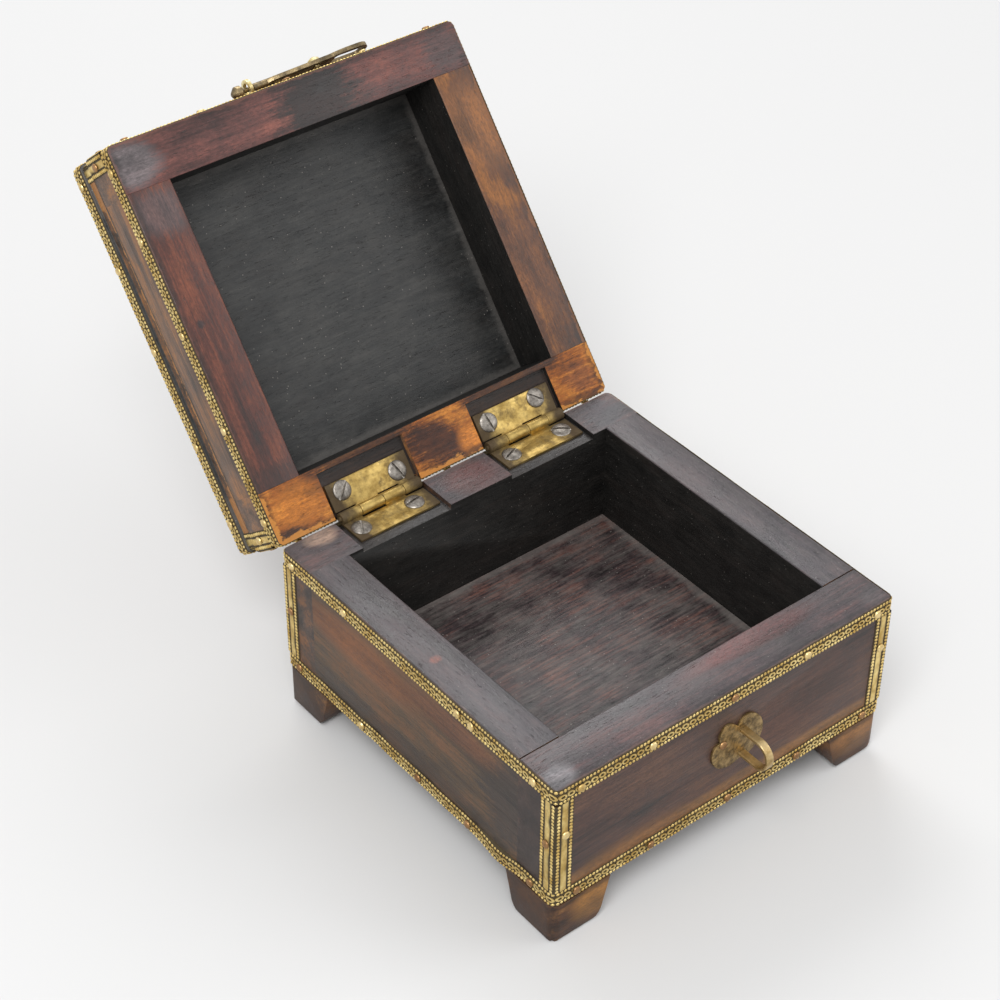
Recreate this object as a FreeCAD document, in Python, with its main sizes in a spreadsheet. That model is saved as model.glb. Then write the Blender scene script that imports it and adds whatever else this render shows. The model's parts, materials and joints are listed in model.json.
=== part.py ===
import FreeCAD, Part
import math
import os
import re
import Sketcher
from FreeCAD import Placement, Rotation, Vector

# Small wooden keepsake chest: a square box on four bracket feet, a deep hinged lid, stamped
# brass strips nailed round the edges and down the corners, two butt hinges let into the
# back rim, and a swinging hasp on the lid that drops over a staple on the front.
# Millimetres. +Z is up, the front faces -Y, and the origin is on the floor under the
# middle of the box. The lid is modelled closed and then laid open about the hinge line.

SIZES = [
    # Carcase
    ("body_width", 149.0, "box over the wood, side to side"),
    ("body_depth", 149.0, "box over the wood, front to back"),
    ("rim_height", 71.0, "floor to the top of the walls"),
    ("foot_height", 17.5, "floor to the underside of the walls"),
    ("wall_front", 18.8, "thickness of the front board"),
    ("wall_back", 16.9, "thickness of the back board"),
    ("wall_left", 16.7, "thickness of the left board"),
    ("wall_right", 15.3, "thickness of the right board"),
    ("floor_thick", 9.0, "thickness of the bottom board"),
    ("floor_drop", 3.5, "bottom board above the walls' lower edge"),
    ("corner_bevel", 1.2, "bevel of the upright outer edges"),
    # Feet
    ("foot_out", 0.5, "face of a foot in front of the walls"),
    ("foot_depth", 13.0, "thickness of a foot"),
    ("foot_reach", 30.5, "length of a foot along the box"),
    ("foot_sole", 20.0, "end of the flat sole from the corner"),
    ("foot_cusp_out", 25.5, "cusp from the corner"),
    ("foot_cusp_up", 7.2, "cusp above the floor"),
    ("foot_lobe_up", 8.6, "underside of the upper lobe above the floor"),
    ("foot_toe_radius", 6.5, "round of the toe under the cusp"),
    ("foot_lobe_radius", 7.0, "round of the upper lobe"),
    ("foot_worn", 2.0, "worn corner under each foot"),
    # Lid
    ("lid_height", 34.2, "rim face to the top of the lid"),
    ("lid_frame_height", 23.5, "height of the lid's four rails"),
    ("lid_front", 17.5, "width of the front rail"),
    ("lid_back", 19.7, "width of the back rail"),
    ("lid_left", 17.7, "width of the left rail"),
    ("lid_right", 16.9, "width of the right rail"),
    ("lid_shoulder", 20.0, "rim face to the shoulder of the recess"),
    ("lid_recess", 1.3, "depth of the recess round the lid"),
    ("closed_gap", 0.3, "gap between the rims when closed"),
    ("open_angle", 129.3, "degrees from closed to fully open"),
    # Stamped brass strip
    ("band_width", 6.5, "strip round the edges"),
    ("strip_width", 7.2, "strip down the corners"),
    ("strip_inset", 0.2, "corner strip from the corner"),
    ("sheet_thick", 0.35, "sheet of the strip"),
    ("bead_thick", 0.7, "strip over the beads"),
    ("ring_thick", 0.8, "edge strip over the chain of rings"),
    ("strip_mid_thick", 0.65, "corner strip over its middle"),
    ("strip_edge", 0.35, "plain margin of the strip"),
    ("bead_width", 1.2, "row of beads"),
    ("groove_width", 0.4, "groove beside the beads"),
    # Tacks that hold the strips and plates
    ("tack_head", 1.5, "radius of a tack's head"),
    ("tack_crown", 0.9, "radius of the flat on top of the head"),
    ("tack_rise", 0.8, "height of the head"),
    ("tack_margin", 0.05, "plain strip beside a tack's head"),
    # Hinges
    ("hinge_length", 34.8, "barrel and leaves"),
    ("hinge_out", 0.55, "hinge line behind the back face"),
    ("barrel_radius", 2.2, "outside of the knuckles"),
    ("leaf_width", 12.8, "hinge line to the leaf's edge"),
    ("leaf_thick", 1.0, "leaf"),
    ("pin_radius", 1.0, "hinge pin"),
    ("pin_clearance", 0.05, "radial room round the pin"),
    ("pin_end", 0.4, "pin past the last knuckle"),
    ("leaf_notch", 0.3, "leaf from the other leaf's knuckles"),
    ("knuckle_gap", 0.2, "between two knuckles"),
    ("barrel_relief", 0.35, "room cut behind the barrel"),
    ("mortise_slack_left", 2.6, "body mortise past the leaf, left end"),
    ("mortise_slack_right", 1.2, "body mortise past the leaf, right end"),
    ("lid_mortise_slack", 1.4, "lid mortise past the leaf, each end"),
    ("lid_mortise_width", 17.5, "lid mortise from the back face"),
    # Hinge screws
    ("screw_head", 3.8, "radius of the screw's head"),
    ("screw_head_rise", 1.05, "height of the head"),
    ("screw_shank", 1.5, "radius of the shank"),
    ("screw_length", 9.0, "under the head"),
    ("screw_slot_width", 0.9, "slot"),
    ("screw_slot_depth", 0.6, "slot"),
    ("screw_slack", 0.05, "room round the shank"),
    # Staple on the front
    ("staple_plate_at", 4.0, "middle of the plate from the box's middle"),
    ("staple_plate_half", 11.5, "middle of the plate to its furthest edge"),
    ("staple_plate_thick", 0.9, "plate"),
    ("staple_at", 6.0, "staple from the box's middle"),
    ("staple_half_height", 6.0, "middle to the outside of a leg"),
    ("staple_reach", 14.5, "front board to the top of the loop"),
    ("staple_width", 3.0, "strap of the staple"),
    ("staple_thick", 1.3, "strap of the staple"),
    ("staple_bury", 9.0, "legs inside the front board"),
    ("staple_slack", 0.05, "room round the legs"),
    # Hasp on the lid
    ("hasp_at", -7.3, "turning axis of the hasp from the box's middle"),
    ("hasp_up", 15.0, "turning axis above the lid's rim face"),
    ("hasp_plate_thick", 0.5, "plate under the hasp"),
    ("hasp_plate_tail", 7.3, "plate to the left of the axis"),
    ("hasp_plate_nose", 34.8, "plate to the right of the axis"),
    ("hasp_plate_end", 6.0, "radius of the plate's ends"),
    ("hasp_plate_waist", 4.6, "half height of the plate beside its lobes"),
    ("hasp_plate_half", 7.0, "half height of the plate over its lobes"),
    ("hasp_lobe_at", 15.5, "middle of the lobes from the axis"),
    ("hasp_lobe_half", 5.5, "half length of a lobe"),
    ("eye_ring", 2.55, "middle radius of the eye"),
    ("eye_wire", 0.65, "half the section of the eye"),
    ("eye_rise", 3.9, "front of the lid to the middle of the eye"),
    ("eye_shank", 1.1, "radius of the eye's shank"),
    ("eye_bury", 12.0, "shank inside the lid"),
    ("eye_clearance", 0.08, "radial room round the shank"),
    ("strap_rise", 3.4, "front of the lid to the middle of the strap"),
    ("strap_roll", 9.0, "degrees the loose strap lies rolled"),
    ("strap_thick", 1.5, "flat of the strap"),
    ("knob_radius", 2.7, "knob that keeps the strap in the eye"),
    ("knob_back", 4.4, "knob behind the turning axis"),
    ("neck_radius", 0.9, "neck in the eye"),
    ("neck_end", 1.9, "end of the thin neck from the axis"),
    ("bar_radius", 1.45, "round bar before the blade"),
    ("bar_end", 10.4, "end of the bar from the axis"),
    ("blade_start", 7.6, "start of the blade from the axis"),
    ("blade_start_half", 1.6, "half width where the blade starts"),
    ("blade_shoulder", 9.8, "full blade from the axis"),
    ("blade_half", 3.0, "half width at the shoulder"),
    ("paddle_start", 34.0, "start of the oval end from the axis"),
    ("paddle_start_half", 4.7, "half width there"),
    ("paddle_middle", 42.5, "widest place from the axis"),
    ("paddle_half", 6.2, "half width there, and radius of the tip"),
    ("strap_reach", 52.0, "tip from the turning axis"),
    ("slot_from_axis", 43.4, "middle of the slot from the turning axis"),
    ("slot_half_length", 6.6, "slot over the staple"),
    ("slot_half_width", 3.8, "slot over the staple"),
    ("slot_corner", 1.5, "rounding in the slot's corners"),
    ("boss_from_axis", 29.6, "domed rivet on the strap from the axis"),
    ("boss_radius", 2.7, "dome"),
    ("boss_rise", 2.15, "dome"),
    ("boss_shank", 0.9, "rivet's shank"),
    ("boss_tail", 1.4, "radius of the rivet's hammered tail"),
    ("boss_tail_rise", 0.3, "tail behind the strap"),
    # One overrun serves every cut
    ("overrun", 2.0, "cutters run past the faces they cut"),
]

doc = FreeCAD.newDocument("chest")
sheet = doc.addObject("Spreadsheet::Sheet", "Sizes")
for row, (alias, value, note) in enumerate(SIZES, start=1):
    sheet.set(f"A{row}", alias)
    sheet.set(f"B{row}", str(value))
    sheet.set(f"C{row}", note)
    sheet.setAlias(f"B{row}", alias)
doc.recompute()
ALIASES = {alias for alias, value, note in SIZES}

# Places that several pieces share, written with the sheet's names
HALF_W, HALF_D = "(body_width / 2)", "(body_depth / 2)"
CAVITY_LEFT, CAVITY_RIGHT = "(wall_left - body_width / 2)", "(body_width / 2 - wall_right)"
CAVITY_FRONT, CAVITY_BACK = "(wall_front - body_depth / 2)", "(body_depth / 2 - wall_back)"
AXIS_Y, AXIS_Z = "(body_depth / 2 + hinge_out)", "(rim_height + closed_gap / 2)"
LID_RIM = "(rim_height + closed_gap)"
LID_TOP = "(rim_height + closed_gap + lid_height)"
LID_FRAME_TOP = "(rim_height + closed_gap + lid_frame_height)"
SHOULDER = "(rim_height + closed_gap + lid_shoulder)"
LEDGE = "(rim_height + closed_gap + lid_height - band_width)"


def bound(text):
    """Writes each size's name in the text as a reference to the sheet."""
    return re.sub(r"[a-z_]+", lambda word: "Sizes." + word[0] if word[0] in ALIASES else word[0], text)


def size(text):
    """The value of an expression in the sheet's names."""
    return float(sheet.evalExpression(bound(text)))


def bind(thing, prop, text):
    thing.setExpression(prop, bound(text))


def move(thing, x, y, z):
    for prop, text in (("x", x), ("y", y), ("z", z)):
        bind(thing, f"Placement.Base.{prop}", text)


# Part-level pieces and cutters

def box(name, x, y, z, dx, dy, dz):
    """A block from its lowest corner and its three sides."""
    block = doc.addObject("Part::Box", name)
    for prop, text in (("Length", dx), ("Width", dy), ("Height", dz)):
        bind(block, prop, text)
    move(block, x, y, z)
    return block


def rod(name, x, y, z, radius, length, turn=Rotation()):
    """A cylinder from the middle of its first end, laid along +Z and then turned."""
    bar = doc.addObject("Part::Cylinder", name)
    bind(bar, "Radius", radius)
    bind(bar, "Height", length)
    bar.Placement = Placement(Vector(), turn)
    move(bar, x, y, z)
    return bar


def prism(name, x, y, z, radius, length, turn):
    """A six-sided bar standing on the middle of its lower end. The screws' shanks and their
    holes are made so, because the heads hide them."""
    bar = doc.addObject("Part::Prism", name)
    bar.Polygon = SHANK_SIDES
    bind(bar, "Circumradius", radius)
    bind(bar, "Height", length)
    bar.Placement = Placement(Vector(), Rotation(Vector(0, 0, 1), turn))
    move(bar, x, y, z)
    return bar


SHANK_SIDES = 6
ALONG_X = Rotation(Vector(0, 1, 0), 90)
TOWARDS_BACK = Rotation(Vector(1, 0, 0), -90)


def group(name, things):
    bundle = doc.addObject("Part::Compound", name)
    bundle.Links = things
    return bundle


def fused(name, things):
    whole = doc.addObject("Part::MultiFuse", name)
    whole.Shapes = things
    return whole


def cut(name, base, tools):
    """The base less all the tools."""
    left = doc.addObject("Part::Cut", name)
    left.Base = base
    left.Tool = group(name + "_tools", tools)
    return left


# Sketched pieces

def new_body(name):
    return doc.addObject("PartDesign::Body", name)


def new_sketch(body, name, plane, offset="0"):
    """A sketch on one of the body's own planes, moved along the plane's normal."""
    flat = next(f for f in body.Origin.OriginFeatures if f.Role == plane)
    drawing = body.newObject("Sketcher::SketchObject", name)
    drawing.AttachmentSupport = [(flat, "")]
    drawing.MapMode = "FlatFace"
    bind(drawing, "AttachmentOffset.Base.z", offset)
    return drawing


def draw(drawing, corners):
    """Draws a closed outline. A corner is (x, y), or (x, y, radius, turn) where the stretch
    that ends there is round: turn is 1 where it bends left and -1 where it bends right."""
    points = [Vector(size(c[0]), size(c[1]), 0) for c in corners]
    joints = []
    for i, corner in enumerate(corners):
        start, end = points[i - 1], points[i]
        if len(corner) == 2:
            geo = drawing.addGeometry(Part.LineSegment(start, end), False)
            joints.append((geo, 1, 2))
            continue
        radius, turn = size(corner[2]), corner[3]
        chord = end - start
        off = math.sqrt(max(radius ** 2 - (chord.Length / 2) ** 2, 0))
        side = Vector(-chord.y, chord.x, 0).normalize() * off * turn
        middle = (start + end) * 0.5 + side
        a, b = (start, end) if turn > 0 else (end, start)
        first = math.atan2(a.y - middle.y, a.x - middle.x)
        last = math.atan2(b.y - middle.y, b.x - middle.x)
        circle = Part.Circle(middle, Vector(0, 0, 1), radius)
        geo = drawing.addGeometry(Part.ArcOfCircle(circle, first, last), False)
        joints.append((geo, 1, 2) if turn > 0 else (geo, 2, 1))
        hold = drawing.addConstraint(Sketcher.Constraint("Radius", geo, radius))
        bind(drawing, f"Constraints[{hold}]", corner[2])
    for i, corner in enumerate(corners):
        geo, first, last = joints[i]
        after, start, end = joints[(i + 1) % len(joints)]
        drawing.addConstraint(Sketcher.Constraint("Coincident", geo, last, after, start))
        for kind, text in (("DistanceX", corner[0]), ("DistanceY", corner[1])):
            hold = drawing.addConstraint(Sketcher.Constraint(kind, -1, 1, geo, last, size(text)))
            bind(drawing, f"Constraints[{hold}]", text)
    return drawing


def pad(body, drawing, length):
    """Extrudes a sketch along its plane's normal."""
    solid = body.newObject("PartDesign::Pad", drawing.Name + "_pad")
    solid.Profile = drawing
    bind(solid, "Length", length)
    drawing.Visibility = False
    return solid


def pocket(body, drawing, length):
    """Cuts a sketch into the body, against its plane's normal."""
    doc.recompute()
    before = body.Shape.Volume
    hollow = body.newObject("PartDesign::Pocket", drawing.Name + "_cut")
    hollow.Profile = drawing
    bind(hollow, "Length", length)
    doc.recompute()
    if not body.Shape.Volume < before:
        raise SystemExit(f"{drawing.Name} cuts nothing")
    return hollow


def turned(body, drawing, axis="V_Axis"):
    """Turns a sketch once round one of its own axes."""
    solid = body.newObject("PartDesign::Revolution", drawing.Name + "_turn")
    solid.Profile = drawing
    solid.ReferenceAxis = (drawing, [axis])
    return solid


def square(x0, x1, y0, y1):
    return [(x0, y0), (x1, y0), (x1, y1), (x0, y1)]


def bevelled(x0, x1, y0, y1, inset, ends="both"):
    """A rectangle with its corners cut off at the front, the back or both ends."""
    low = [(x0, f"{y0} + {inset}"), (f"{x0} + {inset}", y0),
           (f"{x1} - {inset}", y0), (x1, f"{y0} + {inset}")]
    high = [(x1, f"{y1} - {inset}"), (f"{x1} - {inset}", y1),
            (f"{x0} + {inset}", y1), (x0, f"{y1} - {inset}")]
    if ends == "front":
        high = [(x1, y1), (x0, y1)]
    if ends == "back":
        low = [(x0, y0), (x1, y0)]
    return low + high


def rounded(x0, x1, y0, y1, radius):
    """A rectangle with round corners."""
    return [(x0, f"{y0} + {radius}"), (f"{x0} + {radius}", y0, radius, 1),
            (f"{x1} - {radius}", y0), (x1, f"{y0} + {radius}", radius, 1),
            (x1, f"{y1} - {radius}"), (f"{x1} - {radius}", y1, radius, 1),
            (f"{x0} + {radius}", y1), (x0, f"{y1} - {radius}", radius, 1)]


NODES = []
LID_NODES = []


def keep(node, name, on_lid=False):
    """Names a finished sub-part."""
    node.Label = name
    NODES.append(node)
    if on_lid:
        LID_NODES.append(node)
    return node


# The tacks' places. A face is (half size across, half size out), seen from in front of it
# with x to the right, and each face stands a quarter turn on from the one before it. Along
# the face, places are shares of its half width.
FACES = {"front": (HALF_W, HALF_D), "right": (HALF_D, HALF_W), "back": (HALF_W, HALF_D),
         "left": (HALF_D, HALF_W)}
BODY_TACK_SHARES = {
    ("top", "front"): (-0.871, -0.470, 0.009, 0.452, 0.894),
    ("top", "left"): (-0.913, -0.502, 0.338, 0.436, 0.859),
    ("top", "right"): (-0.880, -0.440, -0.020, 0.470, 0.900),
    ("top", "back"): (-0.885, 0.020, 0.880),
    ("bottom", "front"): (-0.877, -0.446, 0.019, 0.452, 0.883),
    ("bottom", "left"): (-0.899, -0.396, 0.040, 0.409, 0.851),
    ("bottom", "right"): (-0.870, -0.450, 0.030, 0.430, 0.890),
    ("bottom", "back"): (-0.890, -0.430, 0.010, 0.460, 0.870),
}
LID_TACK_SHARES = {
    ("rim", "front"): (-0.880, -0.460, 0.030, 0.480, 0.870),
    ("rim", "left"): (-0.872, -0.404, 0.074, 0.544, 0.885),
    ("rim", "right"): (-0.860, -0.430, 0.010, 0.440, 0.880),
    ("rim", "back"): (-0.880, 0.000, 0.885),
    ("top", "front"): (-0.890, -0.450, -0.010, 0.440, 0.885),
    ("top", "left"): (-0.839, -0.436, 0.060, 0.477, 0.906),
    ("top", "right"): (-0.880, -0.450, 0.020, 0.430, 0.870),
    ("top", "back"): (-0.875, -0.440, 0.015, 0.450, 0.890),
}
STRIP_TACK_SHARES = {"front": 0.64, "back": 0.60, "left": 0.52, "right": 0.50}
BAND_FOOT = {"bottom": "foot_height", "top": "(rim_height - band_width)"}
LID_BAND_FOOT = {"rim": LID_RIM, "top": LEDGE}
TACK_SIDES = 6


def face_frame(face):
    turn = 360 / len(FACES) * list(FACES).index(face)
    return Placement(Vector(), Rotation(Vector(0, 0, 1), turn))


def at_face(face, along, seat, up):
    """A frame on a face, with -Y pointing out of it."""
    return face_frame(face).multiply(Placement(Vector(along, -seat, up), Rotation()))


def tack(face, seat, along, up):
    """One tack's faceted head at a place on a face."""
    turns = [2 * math.pi * (i + 0.5) / TACK_SIDES for i in range(TACK_SIDES + 1)]
    low, high = [[Vector(radius * math.cos(a), -rise, radius * math.sin(a)) for a in turns]
                 for radius, rise in ((size("tack_head"), 0),
                                      (size("tack_crown"), size("tack_rise")))]
    outlines = [low, high] + [[low[i], low[i + 1], high[i + 1], high[i], low[i]]
                              for i in range(TACK_SIDES)]
    faces = [Part.Face(Part.makePolygon(outline)) for outline in outlines]
    head = Part.makeSolid(Part.makeShell(faces))
    if head.Volume < 0:
        head.reverse()
    head.Placement = at_face(face, along, seat, up)
    return head


def solids(name, shapes):
    """A group of equal small pieces whose places come from a table."""
    feature = doc.addObject("Part::Feature", name)
    feature.Shape = Part.makeCompound(shapes)
    return feature


def tack_places(shares, feet, low, high):
    """Every tack of the body or the lid: (face, seat, along, up)."""
    places = []
    for (level, face), row_shares in shares.items():
        across, out = FACES[face]
        seat = size(f"{out} + ring_thick")
        up = size(f"{feet[level]} + band_width / 2")
        places += [(face, seat, share * size(across), up) for share in row_shares]
    for face, share in STRIP_TACK_SHARES.items():
        across, out = FACES[face]
        seat = size(f"{out} + strip_mid_thick")
        along = size(f"{across} - strip_inset - strip_width / 2")
        up = size(low) + share * size(f"{high} - {low}")
        places += [(face, seat, side * along, up) for side in (-1, 1)]
    return places


BODY_TACKS = tack_places(BODY_TACK_SHARES, BAND_FOOT, "(foot_height + band_width)",
                         "(rim_height - band_width)")
LID_TACKS = tack_places(LID_TACK_SHARES, LID_BAND_FOOT, f"({LID_RIM} + band_width)", SHOULDER)

# Hinge screws: shares of the hinge's length and of the leaf's width, and the slot's turn
BODY_SCREW_SHARES = {"left": ((-0.379, 0.55, 62), (0.287, 0.55, 8)),
                     "right": ((-0.340, 0.55, 20), (0.335, 0.55, -35))}
LID_SCREW_SHARES = {"left": ((-0.330, 0.70, -48), (0.336, 0.54, 70)),
                    "right": ((-0.352, 0.65, 80), (0.300, 0.72, 40))}
# The middle of each hinge, as a share of the box's half width
HINGE_SHARES = {"left": -0.4295, "right": 0.4624}
HINGES = {side: f"({HALF_W} * ({share}))" for side, share in HINGE_SHARES.items()}
# Knuckles from left to right, as shares of the hinge's length: the first and third belong
# to the body's leaf
KNUCKLE_SHARES = (0.0, 0.2425, 0.53, 0.7875, 1.0)


def screw_places(table):
    """(x, y, turn) of each screw, as sheet expressions and degrees."""
    places = []
    for side, rows in table.items():
        for along, back, slot in rows:
            x = f"({HINGES[side]} + hinge_length * {along})"
            places.append((x, f"({AXIS_Y} - leaf_width * {back})", slot))
    return places


BODY_SCREWS = screw_places(BODY_SCREW_SHARES)
LID_SCREWS = screw_places(LID_SCREW_SHARES)
BODY_MORTISE = f"({AXIS_Z} - barrel_radius)"
LID_MORTISE = f"({AXIS_Z} + barrel_radius)"


def screw_holes(name, places, foot, length):
    return [prism(f"{name}_{i}", x, y, foot, "screw_shank + screw_slack", length, turn)
            for i, (x, y, turn) in enumerate(places)]


def mortises(name, low, high, front, slack_left, slack_right):
    """The two shallow beds for the hinge leaves, with room for the barrel behind them."""
    tools = []
    for side, middle in HINGES.items():
        x = f"{middle} - hinge_length / 2 - {slack_left}"
        length = f"hinge_length + {slack_left} + {slack_right}"
        tools.append(box(f"{name}_{side}", x, front, low, length,
                         f"{HALF_D} + overrun - {front}", f"{high} - {low}"))
    return tools


def reliefs(name, low, high, slack_left, slack_right):
    tools = []
    for side, middle in HINGES.items():
        x = f"{middle} - hinge_length / 2 - {slack_left}"
        length = f"hinge_length + {slack_left} + {slack_right}"
        front = f"({AXIS_Y} - barrel_radius - barrel_relief)"
        tools.append(box(f"{name}_{side}", x, front, low, length,
                         f"{HALF_D} + overrun - {front}", f"{high} - {low}"))
    return tools


body_mortises = mortises("body_mortise", BODY_MORTISE, f"({LID_RIM} + overrun)",
                         f"({CAVITY_BACK} - overrun)", "mortise_slack_left", "mortise_slack_right")
body_reliefs = reliefs("body_relief", f"({BODY_MORTISE} - barrel_relief)",
                       f"({LID_RIM} + overrun)", "mortise_slack_left", "mortise_slack_right")
lid_mortises = mortises("lid_mortise", "(rim_height - overrun)", LID_MORTISE,
                        f"({HALF_D} - lid_mortise_width)", "lid_mortise_slack", "lid_mortise_slack")
lid_reliefs = reliefs("lid_relief", "(rim_height - overrun)", f"({LID_MORTISE} + barrel_relief)",
                      "lid_mortise_slack", "lid_mortise_slack")
body_screw_holes = screw_holes("body_screw_hole", BODY_SCREWS, f"({BODY_MORTISE} - screw_length)",
                               "screw_length + overrun")
lid_screw_holes = screw_holes("lid_screw_hole", LID_SCREWS, f"({LID_MORTISE} - overrun)",
                              "screw_length + overrun")

# Heights of the staple and its plate, as shares of the room between the two bands
STAPLE_UP_SHARES = {"staple": 0.5185, "plate": 0.5556}
STAPLE_UP, PLATE_UP = [
    f"(foot_height + band_width + (rim_height - foot_height - band_width * 2) * {share})"
    for share in STAPLE_UP_SHARES.values()]

# The staple's two legs run through the plate into the front board
staple_leg_holes = [
    box(f"staple_leg_hole_{i}", "staple_at - staple_width / 2 - staple_slack",
        f"0 - {HALF_D} - overrun", z, "staple_width + staple_slack * 2",
        "staple_bury + overrun + staple_slack", "staple_thick + staple_slack * 2")
    for i, z in enumerate((f"{STAPLE_UP} + staple_half_height - staple_thick - staple_slack",
                           f"{STAPLE_UP} - staple_half_height - staple_slack"))]


def plate_tacks(seat, middle_along, middle_up, reach_along, reach_up, shares):
    """Tacks in a plate on the front, placed by shares of the plate's reach."""
    return [("front", size(seat), size(middle_along) + size(reach_along) * along,
             size(middle_up) + size(reach_up) * up) for along, up in shares]


# One tack shows in the staple's plate and two in the hasp's; the third mirrors the second
STAPLE_TACK_SHARES = ((-0.62, 0.16),)
HASP_TACK_SHARES = ((0.91, 0.0), (0.44, 0.70), (0.44, -0.70))
STAPLE_TACKS = plate_tacks(f"{HALF_D} + staple_plate_thick", "staple_plate_at", PLATE_UP,
                           "staple_plate_half", "staple_plate_half", STAPLE_TACK_SHARES)
HASP_TACKS = plate_tacks(f"{HALF_D} + hasp_plate_thick", "hasp_at", f"{LID_RIM} + hasp_up",
                         "hasp_plate_nose", "hasp_plate_half", HASP_TACK_SHARES)
EYE_UP = f"({LID_RIM} + hasp_up)"
eye_hole = rod("eye_hole", "hasp_at", f"0 - {HALF_D} - overrun", EYE_UP, "eye_shank + eye_clearance",
               "eye_bury + eye_clearance + overrun", TOWARDS_BACK)

# Walls and floor of the box: front and back boards run the full width, the sides between
WALLS = {
    "front": (f"0 - {HALF_W}", HALF_W, f"0 - {HALF_D}", CAVITY_FRONT),
    "back": (f"0 - {HALF_W}", HALF_W, CAVITY_BACK, HALF_D),
    "left": (f"0 - {HALF_W}", CAVITY_LEFT, CAVITY_FRONT, CAVITY_BACK),
    "right": (CAVITY_RIGHT, HALF_W, CAVITY_FRONT, CAVITY_BACK),
}
BODY_CUTS = {
    "front": staple_leg_holes,
    "back": body_mortises + body_reliefs + body_screw_holes,
}


def board_outline(face, x0, x1, y0, y1):
    """Front and back boards have two of the upright corners each."""
    if face in ("front", "back"):
        return bevelled(x0, x1, y0, y1, "corner_bevel", face)
    return square(x0, x1, y0, y1)


def body_wall(face):
    wood = new_body(face + "_board")
    plan = draw(new_sketch(wood, face + "_plan", "XY_Plane", "foot_height"),
                board_outline(face, *WALLS[face]))
    pad(wood, plan, "rim_height - foot_height")
    worked = cut(face + "_cut", wood, BODY_CUTS[face]) if face in BODY_CUTS else wood
    return keep(worked, face + "_panel")


for face in FACES:
    body_wall(face)

keep(box("floor", CAVITY_LEFT, CAVITY_FRONT, "foot_height + floor_drop",
         f"{CAVITY_RIGHT} - {CAVITY_LEFT}", f"{CAVITY_BACK} - {CAVITY_FRONT}", "floor_thick"),
     "floor_board")

# Bracket feet: one shaped profile along each side of the corner, bevelled at the arris
plinth = new_body("plinth")
pad(plinth, draw(new_sketch(plinth, "plinth_plan", "XY_Plane"),
                 bevelled(f"0 - {HALF_W} - foot_out", f"{HALF_W} + foot_out",
                          f"0 - {HALF_D} - foot_out", f"{HALF_D} + foot_out", "corner_bevel")),
    "foot_height")


def foot_profile(corner, side):
    """A foot seen square on. Distances run from the corner towards the middle of the box."""
    outline = [("foot_sole", "0"), ("foot_cusp_out", "foot_cusp_up", "foot_toe_radius"),
               ("foot_cusp_out", "foot_lobe_up"),
               ("foot_reach", "foot_height", "foot_lobe_radius"), ("0", "foot_height"),
               ("0", "foot_worn"), ("foot_worn", "0")]
    placed = []
    for out, up, *radius in outline:
        bend = (radius[0], -side) if radius else ()
        placed.append((f"({corner} + foot_out - {out}) * {side}", up) + bend)
    return placed


def foot(name, right, back):
    body = new_body(name + "_blocks")
    front_face = f"0 - {HALF_D} - foot_out" if back > 0 else f"{HALF_D} + foot_out - foot_depth"
    side_face = f"{HALF_W} + foot_out - foot_depth" if right > 0 else f"0 - {HALF_W} - foot_out"
    along_x = new_sketch(body, name + "_long", "XZ_Plane", front_face)
    pad(body, draw(along_x, foot_profile(HALF_W, right)), "foot_depth")
    along_y = new_sketch(body, name + "_cross", "YZ_Plane", side_face)
    pad(body, draw(along_y, foot_profile(HALF_D, back)), "foot_depth")
    shaped = doc.addObject("Part::Common", name + "_shaped")
    shaped.Base, shaped.Tool = body, plinth
    return keep(shaped, name)


for depth_name, back in (("front", -1), ("back", 1)):
    for width_name, right in (("left", -1), ("right", 1)):
        foot(f"foot_{depth_name}_{width_name}", right, back)

# Stamped strips. Each row of a strip is (start share, width, thickness) across the strip:
# the plain sheet first, then the raised rows
BEAD_END = "(strip_edge + bead_width)"
# A bevel keeps the strip's thickness when its legs grow by this share of it
BEVEL_SHARE = 2 - math.sqrt(2)
BAND_ROWS = [
    ("0", "band_width", "sheet_thick"),
    ("strip_edge", "bead_width", "bead_thick"),
    (f"({BEAD_END} + groove_width)", f"(band_width - ({BEAD_END} + groove_width) * 2)",
     "ring_thick"),
    (f"(band_width - {BEAD_END})", "bead_width", "bead_thick"),
]
MID_START = "(strip_width / 2 - tack_head - tack_margin)"
STRIP_ROWS = [
    ("0", "strip_width", "sheet_thick"),
    ("strip_edge", "bead_width", "bead_thick"),
    (MID_START, f"(strip_width - {MID_START} * 2)", "strip_mid_thick"),
    (f"(strip_width - {BEAD_END})", "bead_width", "bead_thick"),
]


def band(name, foot_at):
    """A strip nailed round the box, its rows raised over the sheet."""
    body = new_body(name + "_strip")
    for row, (start, width, thick) in enumerate(BAND_ROWS):
        drawing = new_sketch(body, f"{name}_row_{row}", "XY_Plane", f"{foot_at} + {start}")
        for out in ("0", thick):
            draw(drawing, bevelled(f"(0 - {HALF_W} - {out})", f"({HALF_W} + {out})",
                                   f"(0 - {HALF_D} - {out})", f"({HALF_D} + {out})",
                                   f"(corner_bevel + {out} * {BEVEL_SHARE})"))
        pad(body, drawing, width)
    return body


keep(cut("body_top_band_cut", band("body_top", BAND_FOOT["top"]), body_mortises + body_reliefs),
     "body_top_band")
keep(band("body_bottom", BAND_FOOT["bottom"]), "body_bottom_band")
keep(cut("lid_rim_band_cut", band("lid_rim", LID_BAND_FOOT["rim"]), lid_mortises + lid_reliefs),
     "lid_rim_band", True)
keep(band("lid_top", LID_BAND_FOOT["top"]), "lid_top_band", True)


def on_face(face, along, out):
    """Turns a place along and out of a face into X and Y."""
    along, out = f"({along})", f"({out})"
    return {"front": (along, f"0 - {out}"), "right": (out, along),
            "back": (f"0 - {along}", out), "left": (f"0 - {out}", f"0 - {along}")}[face]


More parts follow.
